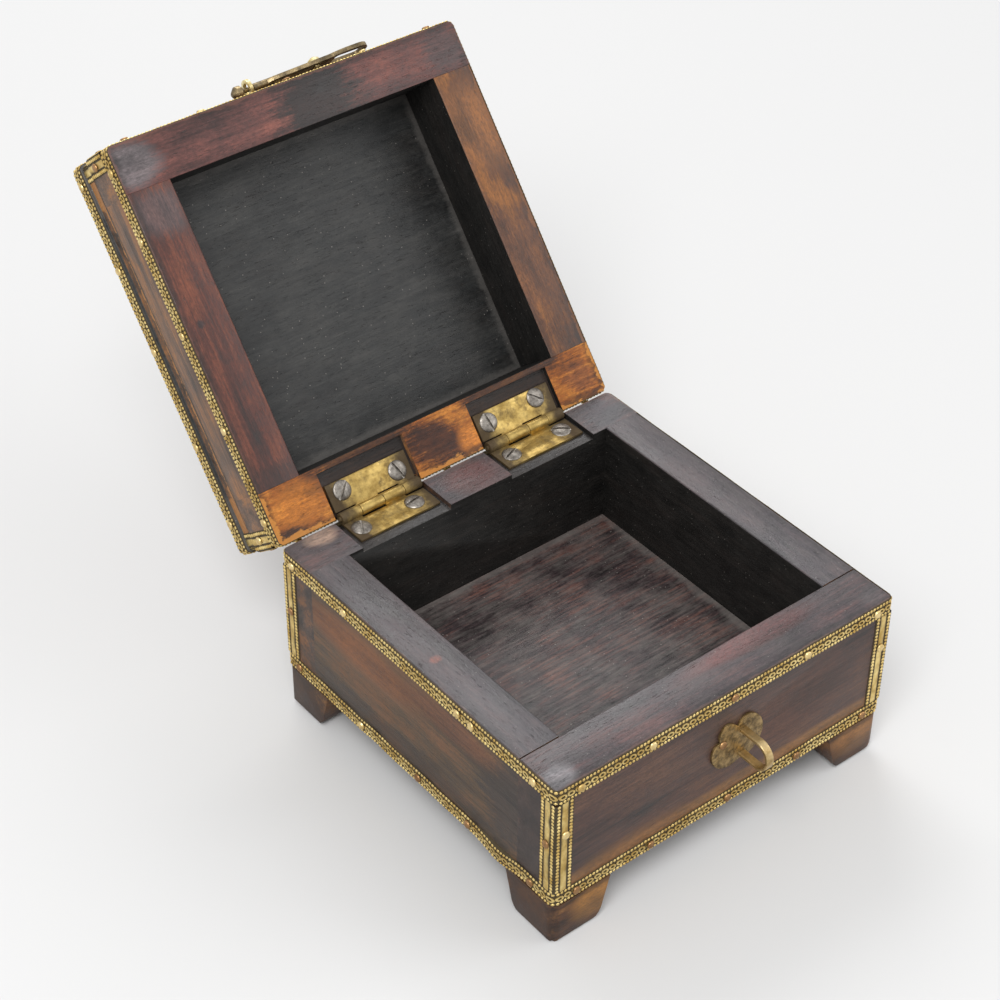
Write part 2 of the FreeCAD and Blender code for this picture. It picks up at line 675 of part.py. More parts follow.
def strip_span(face, side, start, width):
    """Both ends of a row of a corner strip along its face, from left to right."""
    across, out = FACES[face]
    far = f"{across} - strip_inset - {start}"
    near = f"{across} - strip_inset - {start} - {width}"
    return (f"0 - ({far})", f"0 - ({near})") if side < 0 else (near, far)


def body_strip(face, side_name, side):
    """A strip down a corner of the box, between the two bands."""
    name = f"body_strip_{face}_{side_name}"
    across, out = FACES[face]
    body = new_body(name + "_sheet")
    for row, (start, width, thick) in enumerate(STRIP_ROWS):
        low, high = strip_span(face, side, start, width)
        drawing = new_sketch(body, f"{name}_row_{row}", "XY_Plane", "foot_height + band_width")
        draw(drawing, [on_face(face, low, f"{out} + {thick}"), on_face(face, high, f"{out} + {thick}"),
                       on_face(face, high, out), on_face(face, low, out)])
        pad(body, drawing, "rim_height - foot_height - band_width * 2")
    return keep(body, name)


def lid_strip(face, side_name, side):
    """A strip down a corner of the lid, folded in over the shoulder to the recess."""
    name = f"lid_strip_{face}_{side_name}"
    across, out = FACES[face]
    body = new_body(name + "_sheet")
    plane = "YZ_Plane" if face in ("front", "back") else "XZ_Plane"
    low_end, high_end = f"({LID_RIM} + band_width)", LEDGE
    for row, (start, width, thick) in enumerate(STRIP_ROWS):
        low, high = strip_span(face, side, start, width)
        ends = [on_face(face, end, "0")[0 if plane == "YZ_Plane" else 1] for end in (low, high)]
        # A sketch on the YZ plane is padded towards +X, one on the XZ plane towards -Y
        first = min(ends, key=size) if plane == "YZ_Plane" else f"0 - ({max(ends, key=size)})"
        drawing = new_sketch(body, f"{name}_row_{row}", plane, first)
        profile = [(out, low_end), (f"{out} + {thick}", low_end),
                   (f"{out} + {thick}", f"{SHOULDER} + {thick}"),
                   (f"{out} - lid_recess + {thick}", f"{SHOULDER} + {thick}"),
                   (f"{out} - lid_recess + {thick}", high_end), (f"{out} - lid_recess", high_end),
                   (f"{out} - lid_recess", SHOULDER), (out, SHOULDER)]
        sign = "0 - " if face in ("front", "left") else ""
        draw(drawing, [(f"{sign}({away})", up) for away, up in profile])
        pad(body, drawing, width)
    recess = recess_cuts["x" if plane == "YZ_Plane" else "y"]
    return keep(cut(name + "_cut", body, recess), name, True)


# The recess is narrower than the lid, so the strips narrow with it past the shoulder. On the
# shoulder itself the side strips reach into the corners and the others stop short of them
recess_cuts = {"x": [], "y": []}
for side in (-1, 1):
    clear = "(lid_recess + strip_inset)"
    x_low = f"{HALF_W} - {clear}" if side > 0 else f"0 - {HALF_W} - overrun"
    y_low = f"{HALF_D} - {clear}" if side > 0 else f"0 - {HALF_D} - overrun"
    recess_cuts["x"].append(box(f"recess_cut_x{side + 1}", x_low, f"0 - {HALF_D} - overrun",
                                SHOULDER, f"{clear} + overrun", "body_depth + overrun * 2",
                                f"{LEDGE} - {SHOULDER} + overrun"))
    recess_cuts["y"].append(box(f"recess_cut_y{side + 1}", f"0 - {HALF_W} - overrun", y_low,
                                f"{SHOULDER} + bead_thick", "body_width + overrun * 2",
                                f"{clear} + overrun",
                                f"{LEDGE} - {SHOULDER} - bead_thick + overrun"))

for face in FACES:
    for side_name, side in (("left", -1), ("right", 1)):
        body_strip(face, side_name, side)
        lid_strip(face, side_name, side)

keep(solids("body_tacks", [tack(*place) for place in BODY_TACKS]), "body_band_nails")
keep(solids("lid_tacks", [tack(*place) for place in LID_TACKS]), "lid_band_nails", True)

# Staple: a hammered plate, a bent strap through it and one tack. The outline's points are
# shares of the plate's half size, right and up from its middle; a third share is a radius
STAPLE_PLATE_SHARES = (
    (0.37, 0.85, 0.45), (0.97, 0.00, 0.95), (0.76, -0.57, 0.80),
    (0.10, -0.78, 0.60), (-0.66, -0.76, 0.80), (-1.00, 0.06, 0.75), (-0.72, 0.29, 0.35),
    (-0.70, 0.68, 0.34), (-0.42, 0.87, 0.26), (-0.05, 0.57, 0.80))
staple_sheet = new_body("staple_sheet")
plate_points = []
for along, up, bend in STAPLE_PLATE_SHARES:
    plate_points.append((f"staple_plate_at + staple_plate_half * ({along})",
                         f"{PLATE_UP} + staple_plate_half * ({up})",
                         f"staple_plate_half * {bend}", -1))
pad(staple_sheet, draw(new_sketch(staple_sheet, "staple_outline", "XZ_Plane", HALF_D),
                       plate_points), "staple_plate_thick")
keep(cut("staple_plate_cut", staple_sheet, staple_leg_holes), "staple_plate")
keep(solids("staple_tacks", [tack(*place) for place in STAPLE_TACKS]), "staple_plate_nail")

staple = new_body("staple_strap")
IN_Y, BEND_Y = f"(staple_bury - {HALF_D})", f"(staple_half_height - staple_reach - {HALF_D})"
staple_points = []
for inner in ("0", "staple_thick"):
    radius = f"(staple_half_height - {inner})"
    low, high = f"{STAPLE_UP} - {radius}", f"{STAPLE_UP} + {radius}"
    run = [(IN_Y, high), (BEND_Y, high), (f"{BEND_Y} - {radius}", STAPLE_UP, radius, 1),
           (BEND_Y, low, radius, 1), (IN_Y, low)]
    back_run = [(IN_Y, low), (BEND_Y, low), (f"{BEND_Y} - {radius}", STAPLE_UP, radius, -1),
                (BEND_Y, high, radius, -1), (IN_Y, high)]
    staple_points += run if inner == "0" else back_run
pad(staple, draw(new_sketch(staple, "staple_side", "YZ_Plane", "staple_at - staple_width / 2"),
                 staple_points), "staple_width")
keep(staple, "staple")


# Hinges: knuckles by turns on a plain leaf, bored for the pin
def hinge(side):
    middle = HINGES[side]
    start = f"({middle} - hinge_length / 2)"
    bore = rod(f"{side}_bore", f"{start} - overrun", AXIS_Y, AXIS_Z, "pin_radius + pin_clearance",
               "hinge_length + overrun * 2", ALONG_X)
    spans = []
    for i in range(4):
        first = f"hinge_length * {KNUCKLE_SHARES[i]}" + (" + knuckle_gap / 2" if i else "")
        last = f"hinge_length * {KNUCKLE_SHARES[i + 1]}" + (" - knuckle_gap / 2" if i < 3 else "")
        spans.append((f"{start} + {first}", f"({last}) - ({first})"))
    for leaf, mine, foot_z, on_lid in (("body", (0, 2), BODY_MORTISE, False),
                                       ("lid", (1, 3), f"({LID_MORTISE} - leaf_thick)", True)):
        name = f"{side}_{leaf}_leaf"
        plate = box(f"{name}_plate", start, f"{AXIS_Y} - leaf_width", foot_z, "hinge_length",
                    "leaf_width", "leaf_thick")
        knuckles, notches = [], []
        for i, (x, length) in enumerate(spans):
            if i in mine:
                knuckles.append(rod(f"{name}_knuckle_{i}", x, AXIS_Y, AXIS_Z, "barrel_radius",
                                    length, ALONG_X))
                continue
            # The outermost notch runs off the leaf's end
            before = "knuckle_gap" if i else "overrun"
            after = "knuckle_gap" if i < 3 else "overrun"
            notches.append(box(f"{name}_notch_{i}", f"{x} - {before}",
                               f"{AXIS_Y} - barrel_radius - leaf_notch", f"{foot_z} - overrun",
                               f"{length} + {before} + {after}", "barrel_radius + leaf_notch + overrun",
                               "leaf_thick + overrun * 2"))
        whole = fused(f"{name}_whole", [cut(f"{name}_notched", plate, notches)] + knuckles)
        holes = body_screw_holes if leaf == "body" else lid_screw_holes
        keep(cut(f"{name}_cut", whole, [bore] + holes), f"{side}_hinge_{leaf}_leaf", on_lid)
    keep(rod(f"{side}_pin", f"{start} - pin_end", AXIS_Y, AXIS_Z, "pin_radius",
             "hinge_length + pin_end * 2", ALONG_X), f"{side}_hinge_pin")


for side in HINGES:
    hinge(side)

# One slotted screw, head up, its seat at the origin; the hinges hold eight copies
screw_disc = rod("screw_disc", "0", "0", "0", "screw_head", "screw_head_rise")
screw_bar = prism("screw_bar", "0", "0", "0 - screw_length", "screw_shank", "screw_length", 0)
screw_slot = box("screw_slot", "0 - screw_head - overrun", "0 - screw_slot_width / 2",
                 "screw_head_rise - screw_slot_depth", "(screw_head + overrun) * 2",
                 "screw_slot_width", "screw_slot_depth + overrun")
screw = cut("screw", fused("screw_blank", [screw_disc, screw_bar]), [screw_slot])
doc.recompute()


def screw_copies(places, seat, upside_down):
    copies = []
    for x, y, turn in places:
        copy = screw.Shape.copy()
        place = Placement(Vector(size(x), size(y), size(seat)), Rotation(Vector(0, 0, 1), turn))
        if upside_down:
            place = place.multiply(Placement(Vector(), Rotation(Vector(1, 0, 0), 180)))
        copy.Placement = place
        copies.append(copy)
    return copies


keep(solids("body_screws", screw_copies(BODY_SCREWS, f"{BODY_MORTISE} + leaf_thick", False)),
     "body_hinge_screws")
keep(solids("lid_screws", screw_copies(LID_SCREWS, f"{LID_MORTISE} - leaf_thick", True)),
     "lid_hinge_screws", True)

# Lid: four rails with the recess worked round their upper edge, and a thick top board
LID_RAILS = {
    "front": (f"0 - {HALF_W}", HALF_W, f"0 - {HALF_D}", f"(lid_front - {HALF_D})"),
    "back": (f"0 - {HALF_W}", HALF_W, f"({HALF_D} - lid_back)", HALF_D),
    "left": (f"0 - {HALF_W}", f"(lid_left - {HALF_W})", f"(lid_front - {HALF_D})",
             f"({HALF_D} - lid_back)"),
    "right": (f"({HALF_W} - lid_right)", HALF_W, f"(lid_front - {HALF_D})",
              f"({HALF_D} - lid_back)"),
}
LID_CUTS = {
    "front": [eye_hole],
    "back": lid_mortises + lid_reliefs + lid_screw_holes,
}


def set_back(face, x0, x1, y0, y1):
    """The same outline with its outer edges moved in by the recess."""
    if face in ("front", "back", "left"):
        x0 = f"({x0} + lid_recess)"
    if face in ("front", "back", "right"):
        x1 = f"({x1} - lid_recess)"
    if face == "front":
        y0 = f"({y0} + lid_recess)"
    if face == "back":
        y1 = f"({y1} - lid_recess)"
    return x0, x1, y0, y1


def lid_rail(face):
    wood = new_body(face + "_rail")
    lower = draw(new_sketch(wood, face + "_rail_plan", "XY_Plane", LID_RIM),
                 board_outline(face, *LID_RAILS[face]))
    pad(wood, lower, "lid_shoulder")
    upper = draw(new_sketch(wood, face + "_recess_plan", "XY_Plane", SHOULDER),
                 board_outline(face, *set_back(face, *LID_RAILS[face])))
    pad(wood, upper, "lid_frame_height - lid_shoulder")
    worked = cut(face + "_rail_cut", wood, LID_CUTS[face]) if face in LID_CUTS else wood
    return keep(worked, f"lid_{face}_rail", True)


for face in FACES:
    lid_rail(face)

top_board = new_body("top_board")
for name, foot_z, inset, high in (("top_lower", LID_FRAME_TOP, "lid_recess", LEDGE),
                                  ("top_upper", LEDGE, "0", LID_TOP)):
    outline = bevelled(f"({inset} - {HALF_W})", f"({HALF_W} - {inset})", f"({inset} - {HALF_D})",
                       f"({HALF_D} - {inset})", "corner_bevel")
    pad(top_board, draw(new_sketch(top_board, name, "XY_Plane", foot_z), outline),
        f"{high} - {foot_z}")
keep(top_board, "lid_top_board", True)

# Hasp plate: a waisted strip with a lobe on each side and round ends
hasp_sheet = new_body("hasp_sheet")
waist_run = "(hasp_lobe_at - hasp_lobe_half)"
lobe_rise = "(hasp_plate_half - hasp_plate_waist)"
lobe_radius = f"((hasp_lobe_half ^ 2 + {lobe_rise} ^ 2) / (2 * {lobe_rise}))"
tail_x, nose_x = "(hasp_plate_end - hasp_plate_tail)", "(hasp_plate_nose - hasp_plate_end)"
lobe_x = f"({waist_run} + hasp_lobe_half * 2)"
plate_edge = [(tail_x, "hasp_plate_end", "hasp_plate_end"), (waist_run, "hasp_plate_waist"),
              (lobe_x, "hasp_plate_waist", lobe_radius), (nose_x, "hasp_plate_end"),
              ("hasp_plate_nose", "0", "hasp_plate_end"),
              (nose_x, "0 - hasp_plate_end", "hasp_plate_end"), (lobe_x, "0 - hasp_plate_waist"),
              (waist_run, "0 - hasp_plate_waist", lobe_radius), (tail_x, "0 - hasp_plate_end"),
              ("0 - hasp_plate_tail", "0", "hasp_plate_end")]


def from_axis(points):
    """Outline points given right and up from the hasp's turning axis, drawn clockwise."""
    return [(f"hasp_at + {right}", f"{EYE_UP} + {up}") + ((bend[0], -1) if bend else ())
            for right, up, *bend in points]


pad(hasp_sheet, draw(new_sketch(hasp_sheet, "hasp_outline", "XZ_Plane", HALF_D),
                     from_axis(plate_edge)),
    "hasp_plate_thick")
keep(cut("hasp_plate_cut", hasp_sheet, [eye_hole]), "hasp_plate", True)
keep(solids("hasp_tacks", [tack(*place) for place in HASP_TACKS]), "hasp_plate_nails", True)

# Swivel eye: a ring square to the strap on a shank that turns in the rail
EYE_Y = f"(0 - {HALF_D} - eye_rise)"
eye_disc = rod("eye_disc", "hasp_at - eye_wire", EYE_Y, EYE_UP, "eye_ring + eye_wire",
               "eye_wire * 2", ALONG_X)
eye_stem = rod("eye_stem", "hasp_at", f"eye_ring - eye_rise - {HALF_D}", EYE_UP, "eye_shank",
               "eye_bury + eye_rise - eye_ring", TOWARDS_BACK)
eye_bore = rod("eye_bore", "hasp_at - overrun", EYE_Y, EYE_UP, "eye_ring - eye_wire",
               "overrun * 2", ALONG_X)
keep(cut("eye_whole", fused("eye_solid", [eye_disc, eye_stem]), [eye_bore]), "hasp_eye", True)

# Strap: knob behind the eye, neck through it, round bar, flat blade and slotted oval end
STRAP_Y = f"(0 - {HALF_D} - strap_rise)"
# The knob's outline, as shares of its radius along the strap and out from its middle
KNOB_SHARES = ((-0.95, 0.35), (-0.35, 0.95), (0.35, 0.95), (0.94, 0.333))
strap = new_body("strap")
stem = new_sketch(strap, "stem_side", "XY_Plane", EYE_UP)
bind(stem, "AttachmentOffset.Base.x", "hasp_at")
bind(stem, "AttachmentOffset.Base.y", STRAP_Y)
knob = [(f"knob_radius * ({along}) - knob_back", f"knob_radius * {out}")
        for along, out in KNOB_SHARES]
draw(stem, knob + [("neck_end", "neck_radius"), ("neck_end", "bar_radius"),
                   ("bar_end", "bar_radius"), ("bar_end", "0"), (knob[0][0], "0")])
turned(strap, stem, "H_Axis")
flare_run, flare_rise = "(paddle_middle - paddle_start)", "(paddle_half - paddle_start_half)"
flare_radius = f"(({flare_run} ^ 2 + {flare_rise} ^ 2) / (2 * {flare_rise}))"
tip_x = "(strap_reach - paddle_half)"
blade_edge = [("blade_start", "blade_start_half"), ("blade_shoulder", "blade_half"),
              ("paddle_start", "paddle_start_half"),
              ("paddle_middle", "paddle_half", flare_radius), (tip_x, "paddle_half"),
              ("strap_reach", "0", "paddle_half"), (tip_x, "0 - paddle_half", "paddle_half"),
              ("paddle_middle", "0 - paddle_half"),
              ("paddle_start", "0 - paddle_start_half", flare_radius),
              ("blade_shoulder", "0 - blade_half"), ("blade_start", "0 - blade_start_half")]
blade_back = f"{HALF_D} + strap_rise - strap_thick / 2"
pad(strap, draw(new_sketch(strap, "blade_outline", "XZ_Plane", blade_back),
                from_axis(blade_edge)), "strap_thick")
slot_sketch = new_sketch(strap, "blade_slot", "XZ_Plane", f"{blade_back} + strap_thick + overrun")
pocket(strap, draw(slot_sketch, rounded("(hasp_at + slot_from_axis - slot_half_length)",
                                        "(hasp_at + slot_from_axis + slot_half_length)",
                                        f"({EYE_UP} - slot_half_width)",
                                        f"({EYE_UP} + slot_half_width)", "slot_corner")),
       "strap_thick + overrun * 2")
boss_hole = rod("boss_hole", "hasp_at + boss_from_axis",
                f"{STRAP_Y} - strap_thick / 2 - overrun", EYE_UP, "boss_shank",
                "strap_thick + overrun * 2", TOWARDS_BACK)
hasp_strap = keep(cut("strap_cut", strap, [boss_hole]), "hasp_strap", True)

# Domed rivet through the blade, hammered over behind it. The dome's outline is shares of its
# radius and of its height
DOME_SHARES = ((0.80, 0.66), (0.30, 1.0))
boss = new_body("boss")
boss_side = new_sketch(boss, "boss_side", "XY_Plane", EYE_UP)
bind(boss_side, "AttachmentOffset.Base.x", "hasp_at + boss_from_axis")
bind(boss_side, "AttachmentOffset.Base.y", f"{STRAP_Y} + strap_thick / 2")
dome = [(f"boss_radius * {out}", f"0 - strap_thick - boss_rise * {rise}")
        for out, rise in DOME_SHARES]
draw(boss_side, [("0", "boss_tail_rise"), ("boss_tail", "boss_tail_rise"), ("boss_tail", "0"),
                 ("boss_shank", "0"), ("boss_shank", "0 - strap_thick"),
                 ("boss_radius", "0 - strap_thick")] + dome
     + [("0", "0 - strap_thick - boss_rise")])
turned(boss, boss_side)
hasp_boss = keep(boss, "hasp_boss", True)

# The lid and all it carries lie open about the hinge line; the loose strap also lies rolled
LAID_OPEN = (f"placement(vector(0; 0; 0); rotation(vector(1; 0; 0); 0 - open_angle); "
             f"vector(0; {AXIS_Y}; {AXIS_Z}))")
ROLLED = (f"placement(vector(0; 0; 0); rotation(vector(1; 0; 0); 0 - strap_roll); "
          f"vector(0; {STRAP_Y}; {EYE_UP}))")
for node in LID_NODES:
    rolled = node in (hasp_strap, hasp_boss)
    bind(node, "Placement", f"{LAID_OPEN} * {ROLLED}" if rolled else LAID_OPEN)

doc.recompute()
failed = [thing.Name for thing in doc.Objects
          if "Invalid" in thing.State or "Error" in thing.State]
failed += [node.Label for node in NODES if node.Shape.isNull() or not node.Shape.isValid()]
if failed:
    raise SystemExit("failed: " + ", ".join(failed))

os.makedirs("parts", exist_ok=True)
triangles = 0
for node in NODES:
    node.Shape.exportStep(f"parts/{node.Label}.step")
    triangles += len(node.Shape.tessellate(0.1)[1])
print(f"{len(NODES)} sub-parts, about {triangles} triangles")
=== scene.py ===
# %% [markdown]
# A small wooden keepsake chest stands open. Its edges are bound in stamped brass strip, its
# lid turns on two butt hinges, and a swinging hasp on the lid drops over a staple. The sizes
# come from a fixed frame, so this script only has to give each piece its real surface: worn
# stained wood, pressed brass with dirt in its hollows, and dull steel screws.

# %% Load the fixed frame
import json
import math
import random
from functools import partial

import bmesh
import bpy
from mathutils import Matrix, Vector, noise


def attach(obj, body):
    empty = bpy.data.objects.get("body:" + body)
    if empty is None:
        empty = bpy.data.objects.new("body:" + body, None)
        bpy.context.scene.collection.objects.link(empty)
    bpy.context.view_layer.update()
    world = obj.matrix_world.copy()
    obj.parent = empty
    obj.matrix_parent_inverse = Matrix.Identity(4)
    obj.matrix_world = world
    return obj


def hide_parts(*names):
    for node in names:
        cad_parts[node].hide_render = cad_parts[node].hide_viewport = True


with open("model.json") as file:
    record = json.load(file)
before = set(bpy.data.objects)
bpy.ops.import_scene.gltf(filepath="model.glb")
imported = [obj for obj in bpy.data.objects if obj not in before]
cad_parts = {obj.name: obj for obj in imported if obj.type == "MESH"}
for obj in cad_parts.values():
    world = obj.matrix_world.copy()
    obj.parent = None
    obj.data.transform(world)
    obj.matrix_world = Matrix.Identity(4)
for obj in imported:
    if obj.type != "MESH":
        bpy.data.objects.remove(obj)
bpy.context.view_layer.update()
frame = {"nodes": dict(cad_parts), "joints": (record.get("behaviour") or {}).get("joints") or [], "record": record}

MM = 0.001
scene = bpy.context.scene
scene.view_settings.view_transform = "Standard"
print("frame holds", len(frame["nodes"]), "nodes")

# %% [markdown]
# The camera stands in front of the chest's left corner and looks down on it. A long lens
# keeps the box's sides nearly parallel, as in a product picture.

# %% Camera
CAMERA_AT_MM = (-418.607, -469.881, 612.303)
CAMERA_TURN_DEG = (50.971, -0.408, -38.693)
LENS_MM = 86.81
camera_data = bpy.data.cameras.new("camera")
camera_data.lens = LENS_MM
camera_data.sensor_width = 36.0
camera_data.clip_start = 0.01
camera = bpy.data.objects.new("camera", camera_data)
camera.location = Vector(CAMERA_AT_MM) * MM
camera.rotation_euler = [math.radians(angle) for angle in CAMERA_TURN_DEG]
scene.collection.objects.link(camera)
scene.camera = camera
print("camera is", round(camera.location.length, 3), "m from the chest")

# %% [markdown]
# Materials are built from nodes, because a node pattern has no pixels that blur when the
# camera comes close. One function turns an sRGB hex code into the linear colour that a shader
# wants. Another adds a node, sets it, wires it and hands back what it gives out, so a finish
# reads like a recipe from top to bottom.

# %% Colours and nodes
def linear(code):
    """An sRGB hex code as a linear colour with alpha."""
    parts = [int(code[i:i + 2], 16) / 255 for i in (1, 3, 5)]
    return [p / 12.92 if p <= 0.04045 else ((p + 0.055) / 1.055) ** 2.4 for p in parts] + [1.0]


def add_node(tree, kind, inputs=None, gives=0, **settings):
    """Adds a node. An input is a value or the output that feeds it. Returns one output."""
    node = tree.nodes.new("ShaderNode" + kind)
    for name, value in settings.items():
        setattr(node, name, value)
    for key, value in (inputs or {}).items():
        if isinstance(value, bpy.types.NodeSocket):
            tree.links.new(value, node.inputs[key])
        else:
            node.inputs[key].default_value = value
    return node.outputs[gives]


def new_material(name):
    """A material, its shader and the function that adds a node to it."""
    material = bpy.data.materials.new(name)
    material.use_nodes = True
    shader = material.node_tree.nodes["Principled BSDF"]
    return material, shader, partial(add_node, material.node_tree)


def feed(shader, **sources):
    """Wires outputs to a shader's inputs, named with _ for a space."""
    for name, source in sources.items():
        shader.id_data.links.new(source, shader.inputs[name.replace("_", " ")])


# A Mix node set to colours takes them at its inputs 6 and 7 and gives the result at output 2
IN_COLOUR = {"gives": 2, "data_type": "RGBA"}
print("sRGB mid grey is", round(linear("#808080")[0], 3), "in linear light")

# %% [markdown]
# The lid lies open, but its pieces are easier to think about closed, with every board square
# to the axes. They could be modelled where they lie, but each measure would then need a sine.
# The hinge joint says how far the lid is turned, so one matrix lays a closed piece open and
# its inverse closes it again.

# %% The lid's turn
hinge_joint = next(joint for joint in frame["joints"] if joint["name"] == "lid_hinge")
hinge_at = Vector(hinge_joint["pos_m"])
lid_angle = math.radians(max(hinge_joint["range_deg"]))
LAID_OPEN = (Matrix.Translation(hinge_at) @ Matrix.Rotation(-lid_angle, 4, "X")
             @ Matrix.Translation(-hinge_at))
UNMOVED = Matrix.Identity(4)
BODY_OF = {node: body for body, names in frame["record"]["behaviour"]["bodies"].items()
           for node in names}


def turn_of(node):
    """The matrix that takes a node's closed place to where it is shown."""
    return UNMOVED if BODY_OF[node] == "chest" else LAID_OPEN


def corners(points):
    """The lowest and highest corners of the box round some points."""
    return [Vector([pick(point[i] for point in points) for i in range(3)]) for pick in (min, max)]


def closed_box(node):
    """A node's lowest and highest corners with the lid closed."""
    back = turn_of(node).inverted()
    return corners([back @ vertex.co for vertex in frame["nodes"][node].data.vertices])


print("lid is open by", round(math.degrees(lid_angle), 1), "degrees")

# %% [markdown]
# The wood is sheesham, an Indian rosewood, stained dark and rubbed with oil. Hands have worn
# the stain through to orange wood along some edges, and dirt has blackened others. A picture
# of wood could be wrapped on, but it would slide over the joints between boards. Instead every
# board carries its own coordinates in millimetres with the first axis along the grain, so the
# figure follows each board, and the distance to the nearest edge tells where it wears.

# %% Patterns that follow a board
def board_coordinates(add):
    """Millimetres along, across and through the board, and the distance to its nearest edge."""
    grain = add("Attribute", gives="Vector", attribute_name="grain")
    half = add("Attribute", gives="Vector", attribute_name="half")
    away = add("VectorMath", {0: grain}, operation="ABSOLUTE")
    room = add("VectorMath", {0: half, 1: away}, operation="SUBTRACT")
    x, y, z = add("SeparateXYZ", {0: room}, gives=slice(3))
    larger = add("Math", {0: x, 1: y}, operation="MAXIMUM")
    smaller = add("Math", {0: x, 1: y}, operation="MINIMUM")
    through = add("Math", {0: larger, 1: z}, operation="MINIMUM")
    return grain, add("Math", {0: smaller, 1: through}, operation="MAXIMUM")


def cloud(add, vector, size_mm, seed, detail=4.0, stretch=(1, 1, 1), rough=0.55):
    """Noise whose blots are about size_mm across, or longer where stretched."""
    sizes = [size_mm * times for times in stretch]
    vector = add("VectorMath", {0: vector, 1: sizes}, operation="DIVIDE")
    return add("TexNoise", {"Vector": vector, "W": seed, "Scale": 1.0, "Detail": detail,
                            "Roughness": rough}, noise_dimensions="4D")


def specks(add, vector, cell_mm, dot_mm):
    """Small round dots, at most one in each cell."""
    vector = add("VectorMath", {0: vector, 1: [cell_mm] * 3}, operation="DIVIDE")
    distance = add("TexVoronoi", {"Vector": vector, "Scale": 1.0}, gives="Distance")
    reach = dot_mm / cell_mm / 2
    return add("MapRange", {0: distance, 1: reach * 1.2, 2: reach * 0.8})


def average(add, *parts):
    """The weighted average of values, given as pairs of a value and its weight."""
    total = sum(weight for value, weight in parts)
    result = 0.0
    for value, weight in parts:
        result = add("Math", {0: value, 1: weight / total, 2: result}, operation="MULTIPLY_ADD")
    return result


# Sizes across the grain in mm. Real pores are 0.2 mm wide, which is too fine to show, so they
# are drawn coarser.
FIGURE_MM, BAND_MM, BLOT_MM, GRIT_MM, PORE_MM = 1.1, 6.5, 13.0, 0.7, 0.35
PATCH_MM, RUB_MM, DRIFT_MM, STREAK_MM = 5.0, 6.0, 12.0, 1.6
SPECK_CELL_MM, SPECK_MM = 2.6, 0.42
print("the finest wood pattern is", PORE_MM, "mm wide")

# %% [markdown]
# Some stains have a place of their own: a burn beside the hasp and a pale corner. Painted shade
# is laid the same way: the floor of each hinge's mortise is made near black, and the left face
# of the front left foot darker. Each is an ellipsoid with a ragged outline, placed in mm on the
# closed chest, so it can be moved by changing one number. It keeps a little of the grain's tone.

# %% Placed stains and painted shade
ANY = 1000.0
RAGGED, FULL_AT, GONE_AT = 3.2, 2.25, 2.75


def placed_stains_and_shade(add, colour, spots, tone, outline):
    """Lays stains and painted shade on a colour. Each has a place, a reach along each axis, a tint
    and a strength.

    A reach of ANY leaves an axis free."""
    place = add("Attribute", gives="Vector", attribute_name="place")
    tone = add("MapRange", {0: tone, 1: 0.42, 2: 0.58})
    for at, reach, code, strength in spots:
        offset = add("VectorMath", {0: place, 1: at}, operation="SUBTRACT")
        offset = add("VectorMath", {0: offset, 1: reach}, operation="DIVIDE")
        far = add("VectorMath", {0: offset}, gives="Value", operation="LENGTH")
        far = add("Math", {0: outline, 1: RAGGED, 2: far}, operation="MULTIPLY_ADD")
        share = add("MapRange", {0: far, 1: GONE_AT, 2: FULL_AT, 3: 0.0, 4: strength})
        darker, lighter = ([part * times for part in linear(code)[:3]] + [1.0]
                           for times in (0.6, 1.3))
        tint = add("Mix", {0: tone, 6: darker, 7: lighter}, **IN_COLOUR)
        colour = add("Mix", {0: share, 6: colour, 7: tint}, **IN_COLOUR)
    return colour


print("a stain ends where its distance passes", GONE_AT)

# %% [markdown]
# The finish is built in the order in which it came about. The stain took unevenly, so its tone
# follows the grain. Then come the placed stains and painted shade, open pores, dirt beside the
# edges, bare wood on the edges, and dust on top. Oiled wood has a soft shine, which dust and
# dirt dull. The IOR of 1.5 is that of oil and varnish.

# %% A stained and worn hardwood
WOOD_OIL_IOR, PORE_TONE, DUST_TONE = 1.5, "#15100d", "#8f8983"


